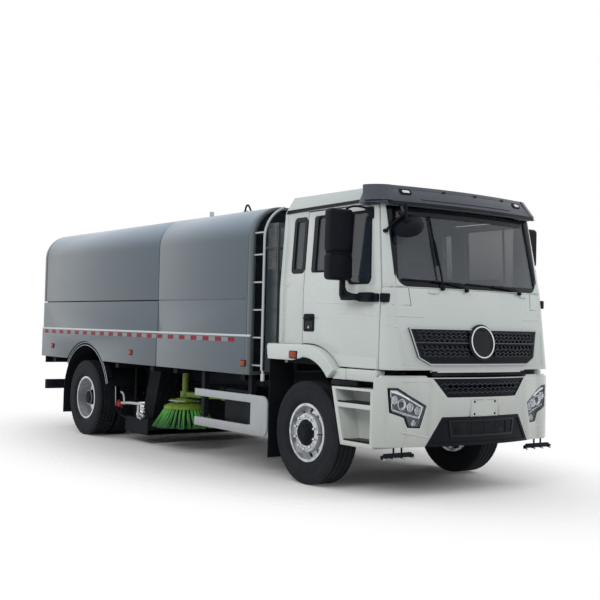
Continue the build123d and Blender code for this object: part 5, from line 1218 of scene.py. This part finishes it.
LAMP = [
    (0.117, 0.555), (0.217, 0.553), (0.518, 0.385), (0.452, 0.176), (0.326, 0.182), (0.288, 0.275),
    (0.136, 0.325)]
LAMP_INNER = [
    (0.138, 0.530), (0.212, 0.530), (0.490, 0.374), (0.452, 0.262), (0.296, 0.300), (0.156, 0.346)]
LAMP_ROUNDS = [
    # in from the bumper's side, up from its lower edge, radius, finish of the middle
    (0.263, 0.398, 0.050, "gloss_black"),
    (0.352, 0.372, 0.040, "clear_lens"),
    (0.426, 0.338, 0.034, "clear_lens"),
    (0.185, 0.440, 0.036, "clear_lens"),
    (0.388, 0.221, 0.028, "clear_lens"),
]
TAIL_LAMP_Y = (0.860, 1.150)


def lamp_on(sign):
    """The bumper's surface, from its side inwards and from its lower edge up."""
    def surface(inward, up, proud):
        return on_bumper(sign * (BUMPER_HALF - inward), BUMPER_LOW + up, proud)
    return surface


lamps = Shape()
for sign in (-1, 1):
    face = lamp_on(sign)
    lamps.add("visor_plastic", sheet_on(face, LAMP, -0.036, 0.008))
    lamps.add("gloss_black", sheet_on(face, LAMP, -0.002, 0.042, hole=0.014))
    lamps.add("chrome", sheet_on(face, LAMP_INNER, -0.026, 0.008, hole=0.016))
    for inward, up, radius, paint in LAMP_ROUNDS:
        seat = face(inward, up, -0.034)
        lamps.add("chrome", lathe(
            [(0.0, radius), (0.018, radius + 0.003), (0.020, radius - 0.002), (0.006, radius * 0.72),
             (0.002, 0.0)], seat, "X", steps=28))
        lamps.add(paint, lathe(
            [(0.002, radius * 0.70), (0.010, radius * 0.62), (0.018, radius * 0.38), (0.021, 0.0)], seat,
            "X", steps=24))
    lamps.add("lit_strip", pipe(
        [face(0.150, 0.520, -0.014), face(0.230, 0.505, -0.014), face(0.340, 0.446, -0.014)], 0.008))
    lamps.add("chrome", pipe(
        [face(0.165, 0.352, -0.016), face(0.290, 0.312, -0.016), face(0.440, 0.272, -0.016)], 0.006))
    lamps.add("headlamp_cover", sheet_on(face, LAMP, -0.004, 0.003))
    # Rear lamp cluster: three lenses in a black tray
    tail_y, tail_z = TAIL_LAMP_Y, span(BODY_LOW, -0.086, 0.024)
    lamps.add("black_plastic", block(span(TAIL, 0.006, 0.024), [sign * y for y in tail_y], tail_z, 0.006))
    width = (tail_y[1] - tail_y[0] - 0.020) / 3
    for index, paint in enumerate(("clear_lens", "red_lens", "amber_lens")):
        start = tail_y[0] + 0.010 + width * index
        lamps.add(paint, block(
            (TAIL, TAIL + 0.012), sided(sign, start + 0.003, start + width - 0.003),
            (tail_z[0] + 0.010, tail_z[1] - 0.010), 0.005))
lamps.place("lamp_units", "chassis", "lamp_clear", "lamps")

LOWER_GRILLE_ROWS = (0.500, 0.540, 0.580)
front_trim = Shape()
lower_grille = mirrored([(0.628, BUMPER_LOW + 0.640), (0.468, BUMPER_LOW + 0.463)])
front_trim.add("gloss_black", sheet_on(on_bumper, lower_grille, -0.044, 0.004))
front_trim.add("black_plastic", sheet_on(on_bumper, lower_grille, -0.001, 0.012, hole=0.014))
valance = mirrored([(0.526, BUMPER_LOW + 0.274), (0.705, BUMPER_LOW)])
front_trim.add("black_plastic", sheet_on(on_bumper, valance, 0.002, 0.014, hole=0.030))
pocket = mirrored([(0.455, BUMPER_LOW + 0.250), (0.425, BUMPER_LOW + 0.082)])
front_trim.add("gloss_black", sheet_on(on_bumper, pocket, 0.000, 0.010, hole=0.022))
front_trim.add("chassis_black", sheet_on(on_bumper, pocket, -0.006, 0.004))
for y in steps_between(-0.16, 0.32, 4):
    front_trim.add("black_plastic", block(
        (NOSE - 0.016, NOSE - 0.004 - 0.20 * y * y), around(y, 0.012), span(BUMPER_LOW, 0.10, 0.235),
        0.003))
for up in LOWER_GRILLE_ROWS:
    half = 0.440 + 0.90 * (up - 0.463)
    front_trim.add("visor_plastic", zigzag(on_bumper, -half, half, BUMPER_LOW + up, -0.003))
front_trim.add("chassis_black", block(
    span(NOSE, -0.210, -0.190), (-0.400, 0.400), span(BUMPER_TOP, -0.145, 0.012)))
bar_x, bar_z = NOSE - 0.175, BUMPER_LOW - 0.085
for sign in (-1, 1):
    shoulder = placed(0.0, BUMPER_TOP, [(0.665, -0.006), (1.150, -0.006), (1.130, 0.018), (0.700, 0.018)])
    front_trim.add("cab_white", sheet_on(on_bumper, flipped(sign, shoulder), -0.014, 0.030, pitch=0.03))
    front_trim.add("black_plastic", block(
        around(bar_x, 0.014), sided(sign, 0.800, 1.140), span(bar_z, -0.010, 0.034), 0.006))
    for y in steps_between(0.79, 1.15, 4):
        top = Vector((bar_x + 0.004, sign * y, bar_z - 0.004))
        front_trim.add("steel", rod(top, top + Vector((0.022, 0, -0.020)), 0.011, 12, tip=0.007))
        front_trim.add("black_plastic", block(
            around(bar_x, 0.018), around(sign * y, 0.016), around(bar_z, 0.018), 0.005))
    lip = placed(0.0, BUMPER_LOW, [(1.080, 0.200), (1.040, 0.160), (0.860, 0.122), (0.672, 0.088)])
    upper = [(y, BUMPER_TOP - 0.036) for y in steps_between(1.18, 0.655, 9)]
    edge = [(0.655, BUMPER_TOP - 0.045), (0.62, BUMPER_TOP - 0.13), (0.50, BUMPER_TOP - 0.200)]
    for line, radius in ((lip, 0.010), (upper, 0.007), (edge, 0.006)):
        front_trim.add("cab_white", bead(on_bumper, flipped(sign, line), radius, -0.002))
PLATE_Z = BUMPER_LOW + 0.358
for y in (-0.140, 0.140):
    for z in (-0.059, 0.059):
        hole_at = Vector((NOSE - 0.004, y, PLATE_Z + z))
        front_trim.add("gloss_black", rod(hole_at, hole_at + Vector((0.005, 0, 0)), 0.012, 16))
front_trim.place("bumper_fittings", "chassis", "black_plastic")


# Steps: tread plates and black nosings in the white boxes

STEP_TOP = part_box("cab_steps")[1].z
STEP_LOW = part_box("cab_steps")[0].z
STEP_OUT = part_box("cab_steps")[1].y
STEP_TREADS = (STEP_LOW + 0.045, STEP_TOP - 0.149)
STEP_REAR_LOW = 0.622      # the box's rear edge, ahead of the axle
STEP_REAR_TOP = 0.470
STEP_WALL = 0.056
step_slope = (STEP_REAR_LOW - STEP_REAR_TOP) / (STEP_TOP - STEP_LOW)
treads = Shape()
for sign in (-1, 1):
    for z in STEP_TREADS:
        rear = FRONT_AXLE + STEP_REAR_LOW - step_slope * (z - STEP_LOW) + STEP_WALL
        front = NOSE - 0.270 - STEP_WALL
        treads.add("tread_plate", block(
            (rear, front), sided(sign, STEP_OUT - 0.008, STEP_OUT - 0.215), span(z, 0.001, 0.012), 0.004))
        treads.add("black_plastic", block(
            (rear, front), sided(sign, STEP_OUT - 0.006, STEP_OUT - 0.030), span(z, 0.004, 0.018), 0.003))
treads.place("step_treads", "chassis", "black_plastic")


# Seats: crowned cushions, and the dashboard's instruments

SEAT_Y = 0.520
FLOOR_TOP = CAB_LOW + 0.085
CHANNEL_DEEP = 0.35        # as a share of the crown
CHANNEL_EDGE = 0.86
PINCH = 0.03               # how far a pad's faces draw in, as a share of its half size


def cushion(x, y, z, crown, axis):
    """A closed pad that swells most in the middle of its faces across one axis."""
    part = block(x, y, z)
    bmesh.ops.subdivide_edges(part, edges=part.edges[:], cuts=9, use_grid_fill=True)
    middle_at = Vector([(pair[0] + pair[1]) / 2 for pair in (x, y, z)])
    half = Vector([abs(pair[1] - pair[0]) / 2 for pair in (x, y, z)])
    for vert in part.verts:
        share = Vector([(vert.co[i] - middle_at[i]) / half[i] for i in range(3)])
        flat = [1 - share[i] ** 2 for i in range(3) if i != axis]
        swell = crown * flat[0] * flat[1]
        channel = CHANNEL_DEEP * crown * (cos(6 * pi * share[1]) > CHANNEL_EDGE)
        vert.co[axis] += share[axis] * (swell - channel)
        for i in range(3):
            if i != axis:
                vert.co[i] -= PINCH * share[i] * half[i] * abs(share[axis])
    bmesh.ops.smooth_vert(
        part, verts=part.verts, factor=0.5, use_axis_x=True, use_axis_y=True, use_axis_z=True)
    return part


for side, sign in SIDES:
    y = sign * SEAT_Y
    pad = Shape()
    pad.add("seat_cloth", cushion(
        span(FRONT_AXLE, -0.145, 0.325), around(y, 0.235), span(FLOOR_TOP, 0.268, 0.392), 0.022, 2))
    pad.add("seat_cloth", cushion(
        span(FRONT_AXLE, -0.222, -0.118), around(y, 0.232), span(FLOOR_TOP, 0.380, 0.860), 0.022, 0))
    pad.add("seat_cloth", cushion(
        span(FRONT_AXLE, -0.215, -0.125), around(y, 0.130), span(FLOOR_TOP, 0.885, 1.052), 0.014, 0))
    seat = pad.place("seat_pads_" + side, "cab", "seat_cloth", *(["seats"] if side == "right" else []))
    stand = Shape()
    stand.add("black_plastic", block(
        span(FRONT_AXLE, -0.10, 0.25), around(y, 0.18), span(FLOOR_TOP, 0.001, 0.255), 0.02, 3))
    for post_y in around(y, 0.06):
        foot = Vector((FRONT_AXLE - 0.17, post_y, FLOOR_TOP + 0.84))
        stand.add("steel", rod(foot, (foot.x, foot.y, FLOOR_TOP + 0.90), 0.007))
    stand.place("seat_stand_" + side, "cab", "black_plastic")

DASH_TOP = CAB_BELT - 0.090
DASH_REAR = NOSE - 0.580
panel = Shape()
panel.add("cabin_trim", block(
    span(DASH_REAR, -0.03, 0.12), around(SEAT_Y, 0.20), span(DASH_TOP, -0.06, 0.07), 0.03, 3))
panel.add("gloss_black", block(
    span(DASH_REAR, -0.034, -0.02), around(SEAT_Y, 0.17), span(DASH_TOP, -0.03, 0.05), 0.01))
panel.add("gloss_black", block(
    span(DASH_REAR, -0.012, 0.02), (-0.14, 0.14), span(DASH_TOP, -0.19, -0.03), 0.01))
for y in (-0.80, -0.24, 0.24, 0.82):
    panel.add("black_plastic", block(
        span(DASH_REAR, -0.010, 0.02), around(y, 0.06), span(DASH_TOP, -0.13, -0.05), 0.008))
panel.place("dashboard_instruments", "cab", "black_plastic")


# Sweeper body: bright ledge, reflective tape, marker lamps and seams

body_trim = Shape()
MARKERS = [(-3.655, 1.224), (-1.068, 1.211), (1.643, 1.184)]      # x, z
for sign in (-1, 1):
    out = sign * BODY_SKIN
    body_trim.add("bright_edge", block(
        (TAIL + 0.004, BODY_FRONT - 0.002), (sign * (BODY_HALF - 0.004), out + sign * 0.004),
        span(BODY_LEDGE, -0.014, 0.010), 0.004))
    body_trim.add("reflective_tape", block(
        (TAIL + 0.02, BODY_FRONT - 0.312), (out - sign * 0.002, out + sign * 0.0008),
        span(BODY_LEDGE, -0.075, -0.025)))
    for x, z in MARKERS:
        body_trim.add("black_rubber", block(
            around(x, 0.052), (out - sign * 0.004, out + sign * 0.005), around(z, 0.036), 0.005))
        body_trim.add("amber_lens", block(
            around(x, 0.044), (out, out + sign * 0.016), around(z, 0.028), 0.007, 3))
    body_trim.add("black_rubber", block(
        around(BODY_SPLIT, 0.004), (out - sign * 0.02, out + sign * 0.001), (BODY_LOW + 0.002, BODY_LEDGE)))
    body_trim.add("black_rubber", block(
        around(BODY_SPLIT, 0.004), sided(sign, BODY_HALF - 0.02, BODY_HALF + 0.001),
        (BODY_LEDGE, BODY_SEAM - 0.02)))
body_trim.place("body_trim", "chassis", "body_paint")

# Intake tower: perforated screens in a folded frame, and the ladder's bracket
tower_low, tower_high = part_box("air_intake_tower")
tower = Shape()
screen_z = span(tower_high.z, -0.52, -0.04)
out_y = tower_low.y
tower.add("perforated", block(span(tower_high.x, -0.002, 0.003), span(out_y, 0.03, 0.255), screen_z))
tower.add("perforated", block(
    (tower_low.x + 0.03, tower_high.x - 0.03), span(out_y, -0.003, 0.002), screen_z))
for z in (screen_z[0], (screen_z[0] + screen_z[1]) / 2, screen_z[1]):
    tower.add("band_grey", block(
        (tower_low.x + 0.012, tower_high.x + 0.006), span(out_y, -0.006, 0.30), around(z, 0.012), 0.003))
ladder_low, ladder_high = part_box("ladder")
ladder_x = ladder_high.x - 0.016
tower.add("steel", pipe(
    [(ladder_x, ladder_low.y + 0.016, 2.44), (ladder_x - 0.02, out_y - 0.02, 2.44),
     (ladder_x - 0.03, out_y + 0.01, 2.44)], 0.010))
tower.place("intake_screens", "chassis", "band_grey")


# Side brushes: plate, a dark core as painted shade between the tufts, and bunched bristles in place of the
# plain brush

BRUSH_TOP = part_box("brush_right")[1].z
BRUSH_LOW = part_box("brush_right")[0].z
BRUSH_R = 0.418
PLATE_R = 0.268
TUFTS = 34
STRANDS = 12
ROOT_SPREAD = 0.035
TIP_SPREAD = 0.075
SPRAY_R = 0.205
SPRAY_RISE = 0.034
seeded = Random(11)
for side, sign in SIDES:
    centre = middle("brush_" + side)
    x, y = centre.x, centre.y
    brush = Shape()
    brush.add("green_paint", lathe(
        [(BRUSH_TOP, 0.0), (BRUSH_TOP, 0.190), (BRUSH_TOP - 0.012, 0.215), (BRUSH_TOP - 0.028, 0.258),
         (BRUSH_TOP - 0.040, PLATE_R), (BRUSH_TOP - 0.066, PLATE_R), (BRUSH_TOP - 0.070, 0.255),
         (BRUSH_TOP - 0.070, 0.0)], (x, y, 0), "Z"))
    # Painted shade: a black cone inside the bristles darkens the gaps between the tufts.
    core = [
        (BRUSH_TOP - 0.068, 0.236), (BRUSH_LOW + 0.050, 0.362), (BRUSH_LOW + 0.055, 0.340),
        (BRUSH_TOP - 0.068, 0.200)]
    brush.add("black_rubber", lathe(core, (x, y, 0), "Z", closed=True))
    for tuft in range(TUFTS):
        bearing = 2 * pi * tuft / TUFTS
        for strand in range(STRANDS):
            root_turn = bearing + seeded.uniform(-ROOT_SPREAD, ROOT_SPREAD)
            tip_turn = bearing + seeded.uniform(-TIP_SPREAD, TIP_SPREAD)
            root_r = seeded.uniform(0.222, 0.254)
            tip_r = seeded.uniform(0.335, BRUSH_R - 0.006)
            tip_z = BRUSH_LOW + 0.004 + seeded.uniform(0.0, 0.016)
            root = turned(x, y, root_r, root_turn, BRUSH_TOP - 0.064)
            tip = turned(x, y, tip_r, tip_turn, tip_z)
            brush.add("bristle_green", rod(root, tip, 0.0085, 5, tip=0.0045))
    for bolt in range(6):
        turn = 2 * pi * bolt / 6
        foot = turned(x, y, 0.150, turn, BRUSH_TOP - 0.002)
        brush.add("steel", rod(foot, foot + Vector((0, 0, 0.005)), 0.012, 6))
    brush.place("brush_bristles_" + side, "brush_" + side, "bristle_green", "brush_" + side, smooth=50)

    head = Shape()
    spray_z = BRUSH_TOP + SPRAY_RISE
    loop = [turned(x, y, SPRAY_R, 2 * pi * i / 24, spray_z) for i in range(23)]
    head.add("steel", pipe(loop, 0.008))
    for turn in (0.4, 2.0, 3.6, 5.2):
        nozzle = turned(x, y, SPRAY_R, turn, spray_z)
        spoke = turned(x, y, 0.100, turn, spray_z)
        head.add("steel", rod(nozzle, spoke, 0.006, 8))
        head.add("steel", rod(nozzle, nozzle - Vector((0, 0, 0.022)), 0.009, 8, tip=0.005))
    head.place("brush_spray_" + side, "brush_head_" + side, "ladder_steel")


# Rear arches, sleeves on the guard posts, hoses and a dark wall along the middle as painted shade under the
# body

ARCH_BAND = (0.735, 0.797, 24, 142)      # inner and outer radius, first and last angle
HOSES = ((0.10, 0.02), (0.15, 0.05), (0.21, 0.03))      # down, and out from the rail
HOSE_Z = 0.93
HOSE_SAG = 0.02
under = Shape()
for sign in (-1, 1):
    band_y = sided(sign, BODY_SKIN - 0.105, BODY_SKIN - 0.020)
    under.add("black_rubber", arc_band(REAR_AXLE, AXLE_Z, *ARCH_BAND, band_y))
    for radius in (0.741, 0.780):
        rim = [
            (REAR_AXLE + radius * cos(radians(turn)), sign * (BODY_SKIN - 0.020),
             AXLE_Z + radius * sin(radians(turn))) for turn in range(18, 146, 6)]
        under.add("guard_grey", pipe(rim, 0.005))
    guard_in = sign * (BODY_HALF - 0.055)
    for x in span(FRONT_AXLE, -1.000, -2.000):
        for sleeve_z in ((0.517, 0.758), (0.848, BODY_LOW - 0.002)):
            under.add("chassis_black", block(
                around(x, 0.033), (guard_in + sign * 0.001, guard_in - sign * 0.063), sleeve_z))
    # Hoses along the rail behind the guard
    for drop, out in HOSES:
        rail = sign * (RAIL_OUT + out)
        points = [(x, rail, HOSE_Z - drop + HOSE_SAG * sin(3.1 * x)) for x in steps_between(-1.7, 1.9, 13)]
        under.add("black_rubber", pipe(points, 0.014))
# Painted shade: a dark wall along the middle stands in for the shade under the body.
under.add("chassis_black", block((-1.95, 0.35), (-0.02, 0.02), (0.40, 0.99)))
under.place("arch_liners", "chassis", "frame_black")

# Nozzle: rubber skirt, red valve, white pipes and fittings at its right end
nozzle_low, nozzle_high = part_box("suction_nozzle")
skirt_z = span(nozzle_low.z, -0.020, 0.050)
works = Shape()
for x in (nozzle_low.x + 0.006, nozzle_high.x - 0.006):
    works.add("black_rubber", block(around(x, 0.006), (-0.980, 0.980), skirt_z, 0.002))
for sign in (-1, 1):
    works.add("black_rubber", block(
        (nozzle_low.x, nozzle_high.x), sided(sign, 0.984, 0.996), skirt_z, 0.002))
end_y = -1.020
valve_x, valve_z = -1.800, 0.475
works.add("valve_red", rod(
    (valve_x - 0.060, end_y, valve_z), (valve_x + 0.060, end_y, valve_z), 0.040, 18, soft=0.006))
works.add("valve_red", rod((valve_x, end_y, valve_z), (valve_x, end_y - 0.020, valve_z + 0.060), 0.020, 14))
works.add("steel", rod((valve_x - 0.085, end_y, valve_z), (valve_x - 0.055, end_y, valve_z), 0.028, 14))
works.add("bright_edge", pipe(
    [(valve_x + 0.050, end_y, valve_z + 0.020), (valve_x + 0.300, end_y, valve_z + 0.040),
     (-1.100, end_y, valve_z + 0.050)], 0.019, smooth=False))
works.add("bright_edge", pipe(
    [(valve_x + 0.130, end_y, valve_z + 0.035), (valve_x + 0.130, end_y, 0.640),
     (valve_x + 0.030, end_y, 0.645)], 0.012))
works.add("steel", rod((-1.240, end_y, 0.500), (-1.240, end_y, 0.360), 0.022, 14))
works.add("bright_edge", rod((-1.160, end_y, 0.470), (-1.060, end_y, 0.440), 0.028, 14, soft=0.004))
works.add("steel", rod((-1.190, end_y, 0.395), (-1.070, end_y, 0.365), 0.024, 14, soft=0.004))
works.add("bright_edge", rod((-1.300, end_y + 0.03, 0.345), (-1.200, end_y + 0.02, 0.330), 0.022, 14))
works.add("steel", rod((-1.965, end_y, 1.005), (-1.928, end_y, 0.452), 0.008, 10))
works.add("black_rubber", pipe([(-1.90, end_y, 0.45), (-1.86, end_y, 0.33), (-1.62, -0.99, 0.30)], 0.016))
works.add("black_rubber", pipe(
    [(-1.06, end_y, 0.46), (-0.98, end_y + 0.02, 0.40), (-1.02, -0.98, 0.28)], 0.016))
works.place("nozzle_fittings", "chassis", "frame_black")

# Fittings on the body's roof and at the ladder's foot
roof = Shape()
ROOF_Y = -0.800
roof.add("steel", rod(
    (0.170, ROOF_Y, BODY_TOP - 0.060), (0.145, ROOF_Y, BODY_TOP + 0.072), 0.028, 18, soft=0.004))
roof.add("black_plastic", pipe(
    [(0.905, ROOF_Y, BODY_TOP - 0.060), (0.905, ROOF_Y, BODY_TOP + 0.075),
     (1.000, ROOF_Y, BODY_TOP + 0.110), (1.075, ROOF_Y, BODY_TOP - 0.060)], 0.011))
foot_x, foot_y = ladder_x, ladder_low.y + 0.030
roof.add("bright_edge", rod((foot_x, foot_y, 1.085), (foot_x, foot_y, 1.005), 0.022, 20, soft=0.005))
roof.add("steel", rod((foot_x, foot_y, 1.120), (foot_x, foot_y, 1.080), 0.017, 14))
roof.add("black_rubber", pipe(
    [(foot_x, foot_y, 0.990), (foot_x - 0.01, foot_y + 0.05, 0.930), (foot_x - 0.05, foot_y + 0.15, 0.910)],
    0.014))
roof.place("roof_fittings", "chassis", "ladder_steel")

# Tailgate: latches, grip strip and bright lines; then reflectors and a bare white panel
LATCH_HEIGHTS = (1.50, 2.10)
GATE_LINES = (1.40, 1.94, 2.60)
gate = Shape()
for sign in (-1, 1):
    for z in LATCH_HEIGHTS:
        y = sign * (BODY_HALF - 0.080)
        gate.add("steel", block(span(TAIL, -0.010, 0.004), around(y, 0.035), around(z, 0.070), 0.006))
        gate.add("chassis_black", rod(
            (TAIL - 0.012, y, z - 0.050), (TAIL - 0.012, y, z + 0.050), 0.010, 12))
gate.add("black_plastic", block(
    span(TAIL, -0.004, 0.002), (-0.26, 0.26), span(BODY_LEDGE, -0.145, -0.085), 0.002))
for z in GATE_LINES:
    gate.add("bright_edge", block(span(TAIL, -0.003, 0.002), (-1.15, 1.15), around(z, 0.006)))
gate.place("tailgate_latches", "tailgate", "body_paint")

REFLECTORS = 8
REFLECTOR_PITCH = 0.29
REFLECTOR_START = -1.02
REFLECTOR_Z = (0.605, 0.655)
rear = Shape()
BAR_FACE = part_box("rear_underrun_bar")[0].x
for index in range(REFLECTORS):
    y = REFLECTOR_START + index * REFLECTOR_PITCH
    paint = "red_lens" if index % 2 else "bright_edge"
    rear.add(paint, block(around(BAR_FACE, 0.002), around(y, 0.13), REFLECTOR_Z))
rear.add("black_plastic", block(span(TAIL, 0.018, 0.026), (-0.23, 0.23), (0.985, 1.105), 0.004))
rear.add("cab_white", block(span(TAIL, 0.014, 0.020), (-0.21, 0.21), (0.995, 1.095), 0.002))
for y in (-0.17, 0.17):
    rear.add("steel", rod((TAIL + 0.011, y, 1.045), (TAIL + 0.018, y, 1.045), 0.008, 12))
rear.place("rear_markings", "chassis", "frame_black")

# Springs' U-bolts and brake chambers
irons = Shape()
for axle_x in (FRONT_AXLE, REAR_AXLE):
    for sign in (-1, 1):
        y = sign * (RAIL_OUT - 0.04)
        for dx in (-0.07, 0.07):
            irons.add("steel", pipe(
                [(axle_x + dx, y - 0.055, AXLE_Z - 0.03), (axle_x + dx, y - 0.055, AXLE_Z + 0.22),
                 (axle_x + dx, y + 0.055, AXLE_Z + 0.22), (axle_x + dx, y + 0.055, AXLE_Z - 0.03)], 0.011,
                smooth=False))
for sign in (-1, 1):
    chamber = Vector((REAR_AXLE - 0.20, sign * 0.46, AXLE_Z + 0.05))
    irons.add("chassis_black", rod(chamber, chamber - Vector((0.16, 0, 0)), 0.075, 24, soft=0.012))
    irons.add("steel", rod(chamber - Vector((0.075, 0, 0)), chamber - Vector((0.085, 0, 0)), 0.082, 24))
irons.place("spring_bolts", "chassis", "axle_iron")


# Studio: pale floor, soft lamps, and the camera of the photograph

bpy.context.scene.view_settings.view_transform = "Standard"
FLOOR_REACH = 60.0
FLOOR_FADE = (2.4, 1.0)      # middle and half width of the soft edge
floor_mesh = bmesh.new()
bmesh.ops.create_grid(floor_mesh, x_segments=1, y_segments=1, size=FLOOR_REACH)
floor_data = bpy.data.meshes.new("floor")
floor_mesh.to_mesh(floor_data)
floor_mesh.free()
floor = bpy.data.objects.new("floor", floor_data)
bpy.context.scene.collection.objects.link(floor)


def seen_white(tree):
    """1 for camera, glossy and transmission rays, 0 for light on the object."""
    path = tree.nodes.new("ShaderNodeLightPath")
    seen = None
    for name in ("Is Camera Ray", "Is Glossy Ray", "Is Transmission Ray"):
        ray = Wire(tree, path.outputs[name])
        seen = ray if seen is None else seen.math("MAXIMUM", seen, ray)
    return seen


def floor_finish():
    """Pale floor that fades out to the white ground away from the truck."""
    material = bpy.data.materials.new("pale_floor")
    material.use_nodes = True
    tree = material.node_tree
    shader = tree.nodes["Principled BSDF"]
    shader.inputs["Base Color"].default_value = (0.80, 0.80, 0.80, 1)
    shader.inputs["Roughness"].default_value = 0.9
    shader.inputs["Specular IOR Level"].default_value = 0.1
    clear = tree.nodes.new("ShaderNodeBsdfTransparent")
    mixed = tree.nodes.new("ShaderNodeMixShader")
    place = Wire(tree).node("TexCoord", {}, {}, "Object")
    distance = place.node(
        "VectorMath", {"operation": "LENGTH"}, {0: place.stretched(0.5, 1.0, 1.0)}, "Value")
    tree.links.new(distance.above(*FLOOR_FADE).socket, mixed.inputs["Fac"])
    tree.links.new(shader.outputs[0], mixed.inputs[1])
    tree.links.new(clear.outputs[0], mixed.inputs[2])
    tree.links.new(mixed.outputs[0], tree.nodes["Material Output"].inputs["Surface"])
    return material


floor_data.materials.append(floor_finish())

world = bpy.data.worlds.new("studio")
bpy.context.scene.world = world
world.use_nodes = True
sky = world.node_tree
background = sky.nodes["Background"]
background.inputs["Color"].default_value = (1, 1, 1, 1)
seen = seen_white(sky)
SOFT_LIGHT = 0.44
sky.links.new((seen * (1 - SOFT_LIGHT) + SOFT_LIGHT).socket, background.inputs["Strength"])

LAMPS = [
    # place, size, power
    ((7.0, -11.0, 9.0), 7.0, 660),
    ((9.0, 8.0, 8.0), 7.0, 420),
    ((-9.0, -7.0, 9.0), 8.0, 330),
    ((0.0, -1.0, 13.0), 12.0, 300),
]
LAMP_AIM = Vector((0, 0, 1.3))
for index, (place, size, power) in enumerate(LAMPS):
    light = bpy.data.lights.new(f"soft_lamp_{index}", "AREA")
    light.shape = "DISK"
    light.size = size
    light.energy = power
    lamp = bpy.data.objects.new(light.name, light)
    lamp.location = place
    lamp.visible_glossy = False
    lamp.rotation_euler = (LAMP_AIM - Vector(place)).to_track_quat("-Z", "Y").to_euler()
    bpy.context.scene.collection.objects.link(lamp)

camera_data = bpy.data.cameras.new("photo_camera")
camera_data.lens = 61.49
camera_data.sensor_width = 36.0
camera_data.shift_x = -0.01288
camera_data.shift_y = -0.01728
camera_data.clip_end = 200.0
camera = bpy.data.objects.new("photo_camera", camera_data)
CAMERA_PLACE = Vector((11.107, -7.374, 1.605))
CAMERA_RIGHT = Vector((0.59419, 0.80399, 0.02320))
CAMERA_UP = Vector((0.01499, -0.03991, 0.99909))
CAMERA_BACK = Vector((0.80419, -0.59330, -0.03577))
turn = Matrix((CAMERA_RIGHT, CAMERA_UP, CAMERA_BACK)).transposed().to_4x4()
camera.matrix_world = Matrix.Translation(CAMERA_PLACE) @ turn
bpy.context.scene.collection.objects.link(camera)
bpy.context.scene.camera = camera
